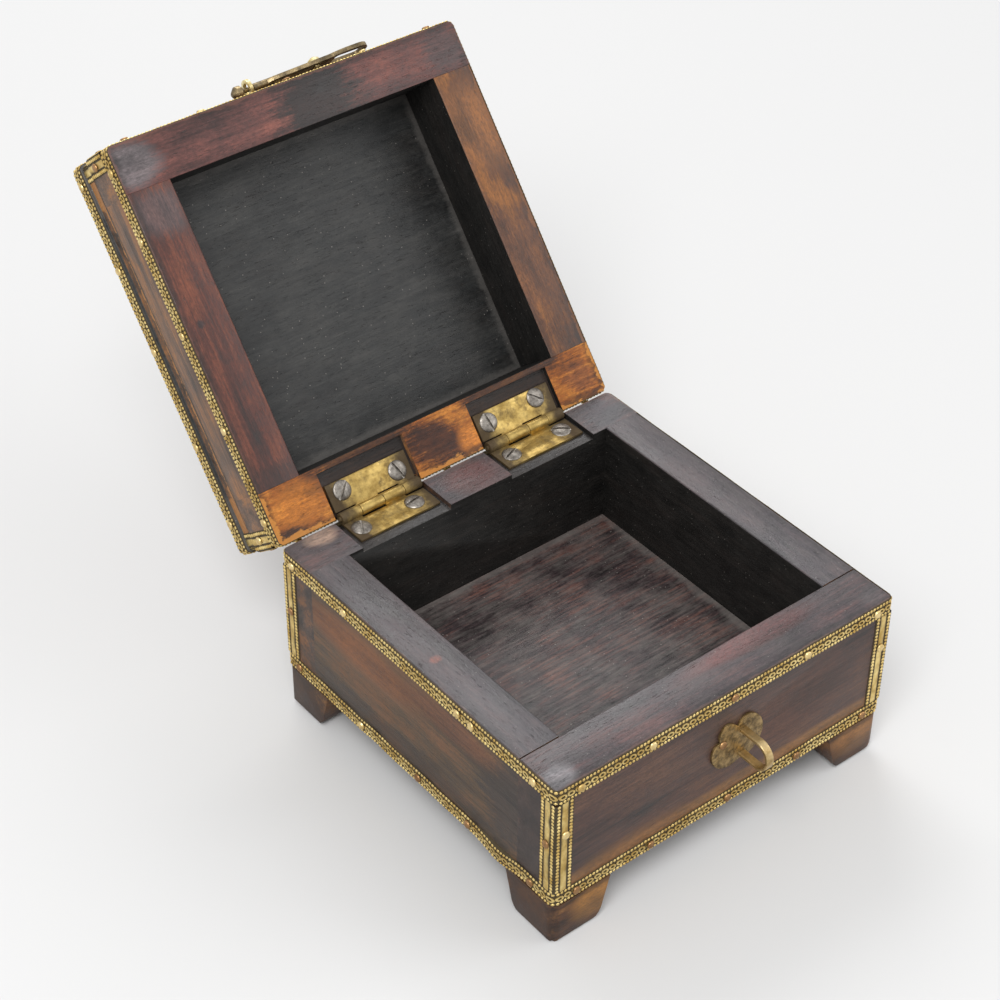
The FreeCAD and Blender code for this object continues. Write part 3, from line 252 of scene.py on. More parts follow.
def hardwood(name, dark, mid, light, worn, seed, worn_share=0.35, worn_mm=2.0,
             edge_tone=PORE_TONE, edge_share=0.4, edge_mm=2.0, rough=0.45, streak_share=0.5,
             dust_share=0.0, speck_share=0.0, shine=0.5, figure_share=0.45, spots=()):
    """Stained wood: grain, streaks, placed stains and painted shade, worn edges, dirt and a little dust."""
    material, shader, add = new_material(name)
    grain, edge = board_coordinates(add)
    figure = cloud(add, grain, FIGURE_MM, seed, 6, (20, 1, 1), 0.68)
    bands = cloud(add, grain, BAND_MM, seed + 3, 3, (9, 1, 1))
    blots = cloud(add, grain, BLOT_MM, seed + 7, 6, (1.7, 1, 1), 0.64)
    grit = cloud(add, grain, GRIT_MM, seed + 11, 3, (2.5, 1, 1), 0.8)
    # Three stain tones
    tone = average(add, (figure, figure_share), (bands, streak_share), (blots, 0.6))
    low = add("MapRange", {0: tone, 1: 0.41, 2: 0.50})
    high = add("MapRange", {0: tone, 1: 0.50, 2: 0.59})
    colour = add("Mix", {0: low, 6: linear(dark), 7: linear(mid)}, **IN_COLOUR)
    colour = add("Mix", {0: high, 6: colour, 7: linear(light)}, **IN_COLOUR)
    outline = average(add, (blots, 1.0), (figure, 0.8), (grit, 0.4))
    colour = placed_stains_and_shade(add, colour, spots, tone, outline)
    # Fine grit darkens and lightens everything a little
    speckle = add("MapRange", {0: grit, 1: 0.25, 2: 0.75, 3: 0.45, 4: 1.55})
    colour = add("Mix", {0: 1.0, 6: colour, 7: speckle}, blend_type="MULTIPLY", **IN_COLOUR)
    # Open pores are short dark dashes along the grain
    pores = cloud(add, grain, PORE_MM, seed + 13, 2, (12, 1, 1), 0.7)
    pores = add("MapRange", {0: pores, 1: 0.38, 2: 0.31})
    share = add("Math", {0: pores, 1: 0.6}, operation="MULTIPLY")
    colour = add("Mix", {0: share, 6: colour, 7: linear(PORE_TONE)}, **IN_COLOUR)
    # Dirt or dust gathers beside edges in patches that wander by some millimetres
    ragged, wander_mm = cloud(add, grain, PATCH_MM, seed + 17, 5, (2, 1, 1), 0.65), 8.0
    near = add("Math", {0: ragged, 1: wander_mm, 2: edge}, operation="MULTIPLY_ADD")
    near = add("MapRange", {0: near, 1: edge_mm + wander_mm * 0.62, 2: edge_mm + wander_mm * 0.36,
                            3: 0.0, 4: edge_share})
    colour = add("Mix", {0: near, 6: colour, 7: linear(edge_tone)}, **IN_COLOUR)
    # The very edge is rubbed bare
    rub = cloud(add, grain, RUB_MM, seed + 23, 6, (2.5, 1, 1), 0.7)
    reach = add("MapRange", {0: rub, 1: 0.40, 2: 0.72, 3: 0.0, 4: worn_mm * 2})
    bare = add("Math", {0: edge, 1: reach}, operation="SUBTRACT")
    bare = add("MapRange", {0: bare, 1: 0.15, 2: -0.35, 3: 0.0, 4: worn_share})
    bare_tone = add("MapRange", {0: figure, 1: 0.35, 2: 0.65})
    bare_tone = add("Mix", {0: bare_tone, 6: linear(worn), 7: linear(light)}, **IN_COLOUR)
    colour = add("Mix", {0: bare, 6: colour, 7: bare_tone}, **IN_COLOUR)
    # Dust lies in thin drifts with a few pale specks
    drift = average(add, (cloud(add, grain, DRIFT_MM, seed + 37, 6, rough=0.7), 0.5),
                    (cloud(add, grain, STREAK_MM, seed + 41, 4, (8, 1, 1), 0.7), 0.5))
    dust = add("MapRange", {0: drift, 1: 0.44, 2: 0.62, 3: 0.0, 4: dust_share})
    dots = specks(add, grain, SPECK_CELL_MM, SPECK_MM)
    dots = add("Math", {0: dots, 1: speck_share}, operation="MULTIPLY")
    share = add("Math", {0: dust, 1: dots}, operation="MAXIMUM")
    colour = add("Mix", {0: share, 6: colour, 7: linear(DUST_TONE)}, **IN_COLOUR)
    # Shine and relief
    sheen = average(add, (blots, 0.5), (grit, 0.5))
    sheen = add("MapRange", {0: sheen, 1: 0.35, 2: 0.65, 3: rough - 0.12, 4: rough + 0.14})
    sheen = add("Math", {0: dust, 1: 0.3, 2: sheen}, operation="MULTIPLY_ADD")
    height = average(add, (figure, 1.0), (ragged, 1.0), (grit, 0.5), (pores, -0.6))
    bump = add("Bump", {"Strength": 0.6, "Distance": 0.35 * MM, "Height": height})
    feed(shader, Base_Color=colour, Roughness=sheen, Normal=bump)
    shader.inputs["IOR"].default_value = WOOD_OIL_IOR
    shader.inputs["Specular IOR Level"].default_value = shine
    return material


print("the wood's IOR is", WOOD_OIL_IOR)

# %% [markdown]
# One wood gives many finishes. The outside is brown and streaked, the rim is nearly black and
# oiled by hands, the hollow was blackened, and its floor is red wood under dust. The four
# colours of a finish are its dark, middle and light stain and its bare wood. The mortises'
# floors, which get painted shade, are found from the hinge leaves that lie on them.

# %% Finishes of the box
MORTISE_Z = closed_box("left_hinge_body_leaf")[0].z / MM
WOODS = {
    "side": hardwood("stained_sheesham_outside", "#2b2421", "#4c3a30", "#7c5231", "#96663a", 1.0,
                     worn_share=0.4, edge_share=0.75, edge_mm=3.0, streak_share=0.7, shine=0.35),
    "left_side": hardwood("stained_sheesham_left", "#2f2824", "#51402f", "#6e4d35", "#96663a", 2.0,
                          worn_share=0.3, edge_share=0.8, edge_mm=3.5, shine=0.35, spots=(
                              ((-74.5, 30, 54), (ANY, 38, 8), "#7d4f30", 0.85),
                              ((-74.5, -20, 58), (ANY, 30, 6), "#6a4430", 0.7),
                              ((-74.5, -52, 45), (ANY, 14, 20), "#3a3330", 0.85),
                              ((-74.5, 10, 28), (ANY, 60, 5), "#332a26", 0.7))),
    "front": hardwood("stained_sheesham_front", "#2a2322", "#4a3630", "#5f4538", "#8a6038", 5.0,
                      worn_share=0.3, edge_share=0.6, streak_share=0.6, shine=0.4, spots=(
                          ((0, -74.5, 25.5), (ANY, 5, 3.4), "#7f5a36", 0.9),
                          ((-40, -74.5, 27), (26, 5, 5.0), "#75502f", 0.6),
                          ((30, -74.5, 45), (24, 5, 14), "#54392f", 0.6),
                          ((-74.5, -62, 45), (2, 9, ANY), "#332c2a", 0.8))),
    "rim": hardwood("oiled_sheesham_rim", "#2e2c2f", "#413b3f", "#584b4c", "#8a6a58", 9.0,
                    worn_share=0.45, worn_mm=0.8, edge_share=0.3, rough=0.36, dust_share=0.12,
                    speck_share=0.5, spots=(
                        ((-67, -3, 71), (2.5, 2, ANY), "#9c5a48", 0.7),
                        ((67, 20, 71), (ANY, 40, ANY), "#3a3033", 0.5))),
    "rim_red": hardwood("oiled_sheesham_red_rim", "#2b282b", "#41383b", "#5d4443", "#8a6a58",
                        13.0, worn_share=0.45, worn_mm=0.8, edge_share=0.3, rough=0.36,
                        dust_share=0.10, speck_share=0.5, spots=(
                            ((20, -60, 71), (30, 5, ANY), "#5d3432", 0.75),
                            ((2, 66, 71), (11, 9, ANY), "#5a3634", 0.8),
                            ((-70, -70, 71), (7, 5, ANY), "#8b888b", 0.6),
                            ((70, -71, 71), (6, 5, ANY), "#4c484a", 0.6),
                            ((-60, 72, 71), (7, 5, ANY), "#a08573", 0.85),
                            ((64, 66, 71), (9, 9, ANY), "#3c3c42", 0.7),
                            # Painted shade: the floor of the box's hinge mortises is made near black
                            ((0, 68, MORTISE_Z - 0.5), (ANY, ANY, 1.9), "#1d1a19", 0.95))),
    "inside": hardwood("blackened_inside", "#070605", "#0e0d0b", "#181310", "#2e231c", 17.0,
                       worn_share=0.1, edge_share=0.1, rough=0.6, dust_share=0.04,
                       speck_share=0.35, shine=0.35),
    "floor": hardwood("dusty_floor", "#191415", "#3f3435", "#6b4a42", "#5a4a40", 21.0,
                      worn_share=0.0, edge_tone="#77716d", edge_share=0.5, edge_mm=3.0,
                      rough=0.45, dust_share=0.34, speck_share=0.9, streak_share=0.2,
                      figure_share=0.7),
    "foot": hardwood("worn_foot", "#2c1c15", "#543723", "#7d5730", "#8a6038", 49.0,
                     worn_share=0.2, worn_mm=1.2, edge_tone="#22160f", edge_share=0.7,
                     edge_mm=1.2, streak_share=0.2, shine=0.35, figure_share=0.2, spots=(
                         # Painted shade: the left face of the front left foot is darkened
                         ((-75, -62, 12), (5, 18, ANY), "#3a271d", 0.85),
                         ((-75, 66, 12), (14, 16, ANY), "#35251d", 0.9),
                         ((-56, -75, 12), (11, 6, 9), "#996b34", 0.8),
                         ((64, -75, 14), (13, 6, 9), "#8a6036", 0.8))),
}
print(len(WOODS), "finishes on the box, whose mortises are cut to", round(MORTISE_Z, 1), "mm")

# %% Finishes of the lid
LID_MORTISE_Z = closed_box("left_hinge_lid_leaf")[1].z / MM
WOODS.update({
    "lid_inside": hardwood("blackened_lid_board", "#141414", "#202121", "#323231", "#4a4744",
                           25.0, worn_share=0.0, edge_tone="#6b6763", edge_share=0.35,
                           edge_mm=2.0, rough=0.5, dust_share=0.07, speck_share=0.6,
                           streak_share=0.2, figure_share=0.35),
    "lid_front": hardwood("red_lid_rail", "#321c1a", "#5b3530", "#7a493f", "#8d5a48", 29.0,
                          worn_share=0.3, worn_mm=1.0, edge_share=0.5, rough=0.40, spots=(
                              ((8, -64, 71), (20, 16, ANY), "#1f1918", 0.95),
                              ((-69, -66, 71), (12, 10, ANY), "#6a6466", 0.85),
                              ((66, -66, 71), (9, 9, ANY), "#3d3334", 0.7))),
    "lid_left": hardwood("dark_red_lid_rail", "#251614", "#4d271e", "#733f2b", "#7c4c38", 33.0,
                         worn_share=0.3, worn_mm=1.0, edge_share=0.55, rough=0.42, spots=(
                             ((-66, -48, 71), (12, 9, ANY), "#504a4c", 0.6),
                             ((-68.3, -7, 71), (1.5, 1.8, ANY), "#2a2223", 0.9),
                             ((-66, 52, 71), (10, 6, ANY), "#34201c", 0.8))),
    "lid_right": hardwood("mottled_lid_rail", "#28180f", "#553420", "#85552b", "#a06636", 37.0,
                          worn_share=0.4, edge_tone="#2a1710", edge_share=0.6, streak_share=0.1,
                          figure_share=0.25, spots=(
                              ((66, -35, 71), (ANY, 18, ANY), "#8a5a34", 0.6),
                              ((66, 20, 71), (ANY, 24, ANY), "#5f3d2b", 0.6))),
    "lid_back": hardwood("worn_orange_lid_rail", "#341c12", "#8c4f1e", "#c07c34", "#c8893e",
                         41.0, worn_share=0.8, worn_mm=1.8, edge_tone="#231510", edge_share=0.7,
                         streak_share=0.15, figure_share=0.3, shine=0.35, spots=(
                             ((-2, 65, 71), (12, 9, ANY), "#3a211a", 0.9),
                             ((-33, 55.5, 71), (24, 5, ANY), "#2b1b15", 0.85),
                             ((35, 55.5, 71), (24, 5, ANY), "#2b1b15", 0.85),
                             # Painted shade: the floor of the lid's hinge mortises is made near black
                             ((0, 62, LID_MORTISE_Z + 0.5), (ANY, ANY, 1.9), "#1d1816", 0.97),
                             ((-62, 64, 71), (11, 8, ANY), "#b56f2c", 0.8),
                             ((12, 69, 71), (5, 6, ANY), "#b8712f", 0.8),
                             ((66, 66, 71), (8, 6, ANY), "#7c4a2c", 0.6),
                             ((-70, 74, 71), (8, 4, ANY), "#242021", 0.8))),
    "lid_side": hardwood("stained_lid_outside", "#362a22", "#6a5140", "#99693f", "#b5804a", 45.0,
                         worn_share=0.8, worn_mm=1.6, edge_share=0.5, streak_share=0.7,
                         shine=0.4),
})
print(len(WOODS), "wood finishes")

# %% [markdown]
# Old brass is bright where it is touched and brown or nearly black where it isn't. Pressed
# strip shows this best: the beads shine and the ground between them holds old polish. Each
# vertex of the strip carries its height above the ground, and that drives the patina. Dirt is
# no metal, so the metallic value falls where the stain is thick. The IOR stays the default,
# because a metal's own colour already says how it mirrors.

# %% Brass and steel
SCRATCH_MM, SCRATCH_DEEP_MM, DIRT_DULLS = 0.5, 0.15, 0.3
# How far from a hinge's middle its brown starts and is full, and how far that line wanders
BROWN_FROM_MM, BROWN_FULL_MM, BROWN_WANDER_MM = 7.5, 14.5, 14.0


def old_metal(name, bright, dull, dirt, seed, rough=0.36, dirt_share=0.5, blot_mm=6.0,
              by_relief=False, brush=(1, 1, 1), dent=0.25, middles=()):
    """A metal with dull blots, dirt in its hollows and fine wear.

    middles gives x in mm for the middle of each hinge, whose ends have browned."""
    material, shader, add = new_material(name)
    place = add("TexCoord", gives="Object")
    place = add("VectorMath", {0: place, 1: [1 / MM] * 3}, operation="MULTIPLY")
    blots = cloud(add, place, blot_mm, seed, 5, rough=0.65)
    scratch = cloud(add, place, SCRATCH_MM, seed + 5, 3, brush)
    dulled = add("MapRange", {0: blots, 1: 0.38, 2: 0.62})
    colour = add("Mix", {0: dulled, 6: linear(bright), 7: linear(dull)}, **IN_COLOUR)
    scratched = add("MapRange", {0: scratch, 1: 0.5, 2: 0.8, 3: 0.0, 4: 0.35})
    colour = add("Mix", {0: scratched, 6: colour, 7: linear(dull)}, **IN_COLOUR)
    stain = cloud(add, place, blot_mm * 0.6, seed + 9, 6, rough=0.7)
    stain = add("MapRange", {0: stain, 1: 0.50, 2: 0.68, 3: 0.0, 4: dirt_share})
    if middles:
        sideways = add("SeparateXYZ", {0: place}, gives="X")
        away = [add("Math", {0: sideways, 1: middle}, operation="SUBTRACT") for middle in middles]
        away = [add("Math", {0: distance}, operation="ABSOLUTE") for distance in away]
        nearest = add("Math", {0: away[0], 1: away[1]}, operation="MINIMUM")
        browned = add("Math", {0: blots, 1: BROWN_WANDER_MM, 2: nearest},
                      operation="MULTIPLY_ADD")
        browned = add("MapRange", {0: browned, 1: BROWN_FROM_MM + BROWN_WANDER_MM / 2,
                                   2: BROWN_FULL_MM + BROWN_WANDER_MM / 2, 3: 0.0, 4: 0.92})
        stain = add("Math", {0: stain, 1: browned}, operation="MAXIMUM")
    if by_relief:
        relief = add("Attribute", gives="Fac", attribute_name="relief")
        sunken = add("MapRange", {0: relief, 1: 0.46, 2: 0.24, 3: 0.0, 4: 0.97})
        stain = add("Math", {0: stain, 1: sunken}, operation="MAXIMUM")
    colour = add("Mix", {0: stain, 6: colour, 7: linear(dirt)}, **IN_COLOUR)
    metallic = add("Math", {0: stain, 1: -0.85, 2: 1.0}, operation="MULTIPLY_ADD")
    finish = add("MapRange", {0: blots, 1: 0.3, 2: 0.7, 3: rough - 0.08, 4: rough + 0.12})
    finish = add("Math", {0: stain, 1: DIRT_DULLS, 2: finish}, operation="MULTIPLY_ADD")
    height = add("Math", {0: blots, 1: 3.0, 2: scratch}, operation="MULTIPLY_ADD")
    bump = add("Bump", {"Strength": dent, "Distance": SCRATCH_DEEP_MM * MM, "Height": height})
    feed(shader, Base_Color=colour, Metallic=metallic, Roughness=finish, Normal=bump)
    return material


print("the finest scratches are", SCRATCH_MM, "mm wide")

# %% [markdown]
# Stamped sheet brass glitters from small beads, and rolled brass has long soft highlights. Some
# tacks have gone coppery where the brass plating has worn off. The hammered plates are dented
# and dark, the hasp is forged and duller than its bright cast eye, and the screws are of mild
# steel, grey with dark slots. The three colours are bright metal, dull metal and dirt.

# %% Metal finishes
HINGE_MIDDLES = [sum(corner.x for corner in closed_box(side + "_hinge_body_leaf")) / 2 / MM
                 for side in ("left", "right")]
METALS = {
    "strip": old_metal("stamped_brass_strip", "#efd793", "#c0a05a", "#352b1a", 60.0,
                       by_relief=True, dirt_share=0.3, rough=0.42),
    "hinge": old_metal("rolled_brass_hinge", "#c6aa68", "#937a45", "#3a2c1b", 66.0,
                       dirt_share=0.6, blot_mm=6.0, brush=(8, 1, 1), rough=0.40,
                       middles=HINGE_MIDDLES),
    "tack": old_metal("dull_copper_tack", "#b28b60", "#866443", "#3a281b", 70.0, dirt_share=0.4,
                      blot_mm=3.0, rough=0.42),
    "gold_tack": old_metal("brass_tack", "#f0d9a0", "#c4a76a", "#4a3a20", 71.0, dirt_share=0.3,
                           blot_mm=3.0, rough=0.42),
    "staple": old_metal("brushed_brass_staple", "#dcc494", "#a98f5f", "#4a3d28", 74.0,
                        dirt_share=0.35, brush=(1, 8, 1), rough=0.4),
    "plate": old_metal("hammered_brass_plate", "#b09463", "#5f4d31", "#241c12", 78.0,
                       dirt_share=0.85, blot_mm=3.0, dent=0.7, rough=0.42),
    "hasp": old_metal("forged_brass_hasp", "#a08d6a", "#605543", "#2c2721", 82.0,
                      dirt_share=0.7, blot_mm=5.0, dent=0.6, rough=0.42),
    "eye": old_metal("bright_brass_eye", "#f4e7b8", "#c9b578", "#5a4c30", 86.0, dirt_share=0.3,
                     blot_mm=3.0, rough=0.4),
    "steel": old_metal("dull_steel_screw", "#a29c94", "#6f6963", "#2e2925", 90.0,
                       dirt_share=0.5, blot_mm=2.5, rough=0.42),
}
print(len(METALS), "metal finishes")

# %% [markdown]
# A machine-cut edge is a perfect line, and no old edge is. The frame's pieces could be modelled
# again from nothing, but a copy keeps every hole and notch in its place. So a copy is merged,
# its flat faces are joined, and its sharp edges are bevelled, which is how handling rounds them.

# %% Worn copies of nodes
def place_piece(piece, node):
    """Hangs a finished piece on its body."""
    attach(piece, BODY_OF[node])


def finish_mesh(shape, name, materials, node, smooth_deg=35):
    """Turns a bmesh into a piece of the chest."""
    mesh = bpy.data.meshes.new(name)
    shape.to_mesh(mesh)
    shape.free()
    for material in materials:
        mesh.materials.append(material)
    mesh.polygons.foreach_set("use_smooth", [True] * len(mesh.polygons))
    mesh.set_sharp_from_angle(angle=math.radians(smooth_deg))
    piece = bpy.data.objects.new(name, mesh)
    scene.collection.objects.link(piece)
    place_piece(piece, node)
    return piece


def merged_copy(node):
    """A node's shape with its doubles merged and its flat faces joined."""
    shape = bmesh.new()
    shape.from_mesh(frame["nodes"][node].data)
    bmesh.ops.remove_doubles(shape, verts=shape.verts, dist=0.004 * MM)
    bmesh.ops.dissolve_limit(shape, angle_limit=math.radians(2), verts=shape.verts,
                             edges=shape.edges)
    return shape


def wear_edges(shape, width, segments=2, sharp_deg=30, keep=lambda edge: True):
    """Bevels every kept edge that is sharper than sharp_deg."""
    sharp = [edge for edge in shape.edges if len(edge.link_faces) == 2
             and edge.calc_face_angle() > math.radians(sharp_deg) and keep(edge)]
    bmesh.ops.bevel(shape, geom=sharp, offset=width, segments=segments, profile=0.5,
                    affect="EDGES", material=-1, clamp_overlap=True)


print("edges wear by bevelling")

# %% [markdown]
# A board's coordinates are kept on its own vertices as attributes, so they stay with it when
# the lid turns. Where a board runs on behind another one, or is seen from one side only, its
# stored edges are moved, so that it wears only where hands can reach.

# %% Coordinates on a board
HIDDEN_MM = 14.0


def store_grain(mesh, back, low, high, along, ends_hidden, outer, seen, inner_side):
    """Writes each vertex's place in mm, closed, its place on its board and the half sizes."""
    order = [along] + [axis for axis in (0, 1, 2) if axis != along]
    middle = (low + high) / 2
    half = (high - low) / 2
    shift = Vector()
    # Of a board between walls, only a part shows on the inner side
    if seen:
        near, far = (Vector((*corner, edge.z)) for corner, edge in zip(seen, (low, high)))
    if ends_hidden:
        half[along] += HIDDEN_MM * MM
    if outer is not None:
        # Only the outer edges wear, so the coordinates lean inwards
        half[outer] += HIDDEN_MM / 2 * MM
        shift[outer] = math.copysign(HIDDEN_MM / 2 * MM, middle[outer])
    layers = {name: mesh.attributes.new(name, "FLOAT_VECTOR", "POINT").data
              for name in ("grain", "half", "place")}
    for vertex in mesh.vertices:
        closed = back @ vertex.co
        centre, reach = middle, half
        if seen and (closed.z - middle.z) * inner_side > 0:
            centre, reach = (near + far) / 2, (far - near) / 2
        place = closed - centre + shift
        layers["grain"][vertex.index].vector = [place[axis] / MM for axis in order]
        layers["half"][vertex.index].vector = [reach[axis] / MM for axis in order]
        layers["place"][vertex.index].vector = closed / MM


print("a hidden edge is moved by", HIDDEN_MM, "mm")

# %% [markdown]
# The feet are low blocks, and dragging over floors has worn their corners round. A bevel can't
# be wider than the face beside it, so each corner is cut instead, as a rasp would do it: by a
# row of flat cuts whose planes touch one curve. Each cut is closed with a face.

# %% Worn feet
FOOT_EDGE_MM, FOOT_INNER_MM, CUTS = 4.0, 6.5, 5


def round_off(shape, low, high, outer_x, outer_y, inner):
    """Wears a foot's corners round. The last three are the curves' radii in mm."""
    middle = (low + high) / 2
    out = Vector((math.copysign(1, middle.x), math.copysign(1, middle.y), -1))
    corner = Vector((high.x if out.x > 0 else low.x, high.y if out.y > 0 else low.y, low.z))
    sole = [vertex.co for vertex in shape.verts if vertex.co.z < low.z + 0.5 * MM]
    far = Vector((min((co.x for co in sole), key=lambda x: x * out.x),
                  min((co.y for co in sole), key=lambda y: y * out.y), low.z))
    for start, sign, first, second, reach in (
            (corner, 1, 0, 2, outer_x), (corner, 1, 1, 2, outer_y),
            (corner, 1, 0, 1, FOOT_EDGE_MM),
            (far, -1, 0, 2, inner), (far, -1, 1, 2, inner)):
        reach *= MM
        ways = Vector(), Vector()
        ways[0][first], ways[1][second] = out[first] * sign, out[second]
        centre = start - (ways[0] + ways[1]) * reach
        for step in range(1, CUTS + 1):
            angle = math.pi / 2 * step / (CUTS + 1)
            normal = ways[0] * math.cos(angle) + ways[1] * math.sin(angle)
            made = bmesh.ops.bisect_plane(
                shape, geom=shape.verts[:] + shape.edges[:] + shape.faces[:],
                plane_co=centre + normal * reach, plane_no=normal, clear_outer=True)
            edges = [item for item in made["geom_cut"] if isinstance(item, bmesh.types.BMEdge)]
            bmesh.ops.holes_fill(shape, edges=edges)


print(CUTS, "cuts make a round corner")

# %% [markdown]
# A board's faces are sorted by where they look with the lid closed: the outside, the inside of
# the hollow and the rim between them. Its open edges are rounded. Where two boards meet, the
# edges stay sharp, because the joint is tight and nothing can rub there.

# %% Boards
JOINTS = {body: [corner.y for corner in closed_box(node)]
          for body, node in (("chest", "left_panel"), ("lid", "lid_left_rail"))}
HINGE_SIDE_MM, BESIDE_HOLLOW_MM = 73.0, 50.0


def board(node, along, outside, rim, inside, width_mm=0.7, seen=None, worn_corner=None):
    """A board with worn edges. along is the axis of the grain with the lid closed."""
    turn = turn_of(node)
    back = turn.inverted()
    low, high = closed_box(node)
    joints = JOINTS[BODY_OF[node]]
    wall = "panel" in node or "rail" in node

    def open_edge(edge):
        middle = back @ ((edge.verts[0].co + edge.verts[1].co) / 2)
        hinged = middle.y > HINGE_SIDE_MM * MM and abs(middle.z - hinge_at.z) < MM
        butted = (min(abs(middle.y - joint) for joint in joints) < 0.3 * MM
                  and abs(middle.x) > BESIDE_HOLLOW_MM * MM)
        return not (wall and (hinged or butted))

    shape = merged_copy(node)
    if worn_corner:
        round_off(shape, low, high, *worn_corner)
    wear_edges(shape, width_mm * MM, 3, keep=open_edge)
    rim_side = Vector((0, 0, 1 if BODY_OF[node] == "chest" else -1))
    for face in shape.faces:
        normal = back.to_3x3() @ face.normal
        centre = back @ face.calc_center_median()
        if normal.dot(rim_side) > 0.6:
            face.material_index = 1
        elif abs(normal.z) < 0.5 and normal.dot(Vector((centre.x, centre.y, 0))) < 0:
            face.material_index = 2
    piece = finish_mesh(shape, node.replace("panel", "board") + "_wood",
                        [WOODS[outside], WOODS[rim], WOODS[inside]], node)
    store_grain(piece.data, back, low, high, along, wall and along == 1,
                1 - along if wall else None, seen, rim_side.z)
    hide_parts(node)


def hollow(left, right, front, back):
    """The lowest and highest x and y between four walls."""
    return ((closed_box(left)[1].x, closed_box(front)[1].y),
            (closed_box(right)[0].x, closed_box(back)[0].y))


board("front_panel", 0, "front", "rim_red", "inside")
board("back_panel", 0, "side", "rim_red", "inside")
board("left_panel", 1, "left_side", "rim", "inside")
board("right_panel", 1, "side", "rim", "inside")
board("floor_board", 0, "foot", "floor", "inside", 0.2,
      hollow("left_panel", "right_panel", "front_panel", "back_panel"))
for foot, outer_x, outer_y in (("front_left", 1.5, 1.5), ("front_right", 9.0, 2.0),
                               ("back_left", 2.0, 5.0), ("back_right", 2.0, 2.0)):
    board("foot_" + foot, 0, "foot", "foot", "foot", 0.9,
          worn_corner=(outer_x, outer_y, FOOT_INNER_MM))
board("lid_front_rail", 0, "lid_side", "lid_front", "inside")
board("lid_back_rail", 0, "lid_side", "lid_back", "inside")
board("lid_left_rail", 1, "lid_side", "lid_left", "inside")
board("lid_right_rail", 1, "lid_side", "lid_right", "inside")
board("lid_top_board", 0, "lid_side", "lid_inside", "inside", 0.4,
      hollow("lid_left_rail", "lid_right_rail", "lid_front_rail", "lid_back_rail"))
print(len(WOODS), "finishes are on the boards")

# %% [markdown]
# The edging is thin brass strip run through a pair of patterned rollers. It has a row of beads
# on each side, a groove beside each row and a chain of slanted rings down the middle. A bump
# map would be lighter, but its beads would vanish in the outline. So it is modelled flat, as it
# leaves the rollers, and then wrapped round the box, as the maker does. One bead and one ring
# are made, and both have few faces, because they are copied thousands of times.

# %% One bead and one ring
def half_ball(name, around, rings):
    """A mesh of a half ball of radius 1 standing on the ground."""
    shape = bmesh.new()
    bmesh.ops.create_uvsphere(shape, u_segments=around, v_segments=rings, radius=1)
    # The small distance keeps the ball's own equator, beside which a cut leaves flat faces
    bmesh.ops.bisect_plane(shape, geom=shape.verts[:] + shape.edges[:] + shape.faces[:],
                           plane_co=(0, 0, 0), plane_no=(0, 0, 1), clear_inner=True, dist=1e-4)
    mesh = bpy.data.meshes.new(name)
    shape.to_mesh(mesh)
    shape.free()
    return mesh


def add_copy(shape, mesh):
    """Adds a mesh to a shape and returns its vertices."""
    before = len(shape.verts)
    shape.from_mesh(mesh)
    shape.verts.ensure_lookup_table()
    return shape.verts[before:]


def ring_template():
    """A ring about 1 in radius, square in section and cut off underneath."""
    shape = bmesh.new()
    bmesh.ops.create_circle(shape, segments=4, radius=RING_WIRE,
                            matrix=Matrix.Translation((RING_RADIUS, 0, 0))
                            @ Matrix.Rotation(math.pi / 2, 4, "X")
                            @ Matrix.Rotation(math.pi / 4, 4, "Z"))
    bmesh.ops.spin(shape, geom=shape.verts[:] + shape.edges[:], cent=(0, 0, 0), axis=(0, 0, 1),
                   angle=math.tau, steps=12, use_merge=True)
    bmesh.ops.remove_doubles(shape, verts=shape.verts, dist=0.001)
    bmesh.ops.bisect_plane(shape, geom=shape.verts[:] + shape.edges[:] + shape.faces[:],
                           plane_co=(0, 0, -0.05), plane_no=(0, 0, 1), clear_inner=True)
    mesh = bpy.data.meshes.new("ring")
    shape.to_mesh(mesh)
    shape.free()
    return mesh


RING_RADIUS, RING_WIRE = 0.74, 0.34
BEAD, RING = half_ball("bead", 8, 4), ring_template()
print("a bead has", len(BEAD.polygons), "faces and a ring", len(RING.polygons))

# %% Stamped strip, still flat
# Across the strip: share of its width and height above the wood in mm
BAND_PROFILE = ((0.0, -0.10), (0.01, 0.22), (0.05, 0.24), (0.22, 0.24), (0.245, 0.14),
                (0.27, 0.14), (0.295, 0.24), (0.72, 0.24), (0.745, 0.14), (0.77, 0.14),
                (0.79, 0.24), (0.95, 0.24), (0.99, 0.22), (1.0, -0.10))
# A row of beads: share of the width, half length of a bead across the strip and pitch in mm
BEAD_ROWS = ((0.125, 0.74, 1.50), (0.885, 0.68, 1.50))
RING_ROW, RING_PITCH = 0.508, 3.2
POST_PROFILE = ((0.0, -0.10), (0.01, 0.22), (0.04, 0.24), (0.25, 0.24), (0.275, 0.14),
                (0.30, 0.14), (0.34, 0.35), (0.50, 0.42), (0.66, 0.35), (0.70, 0.14),
                (0.725, 0.14), (0.75, 0.24), (0.96, 0.24), (0.99, 0.22), (1.0, -0.10))
POST_BEADS = ((0.14, 0.80, 1.50), (0.86, 0.80, 1.50))
BEAD_SLANT_DEG, RING_SLANT_DEG = 28, 22
BEAD_HALF_ALONG, BEAD_RISE, BEAD_BASE = 0.66, 0.46, 0.22
RING_SIZE, RING_BASE = (1.66, 1.22, 1.25, 1), 0.27


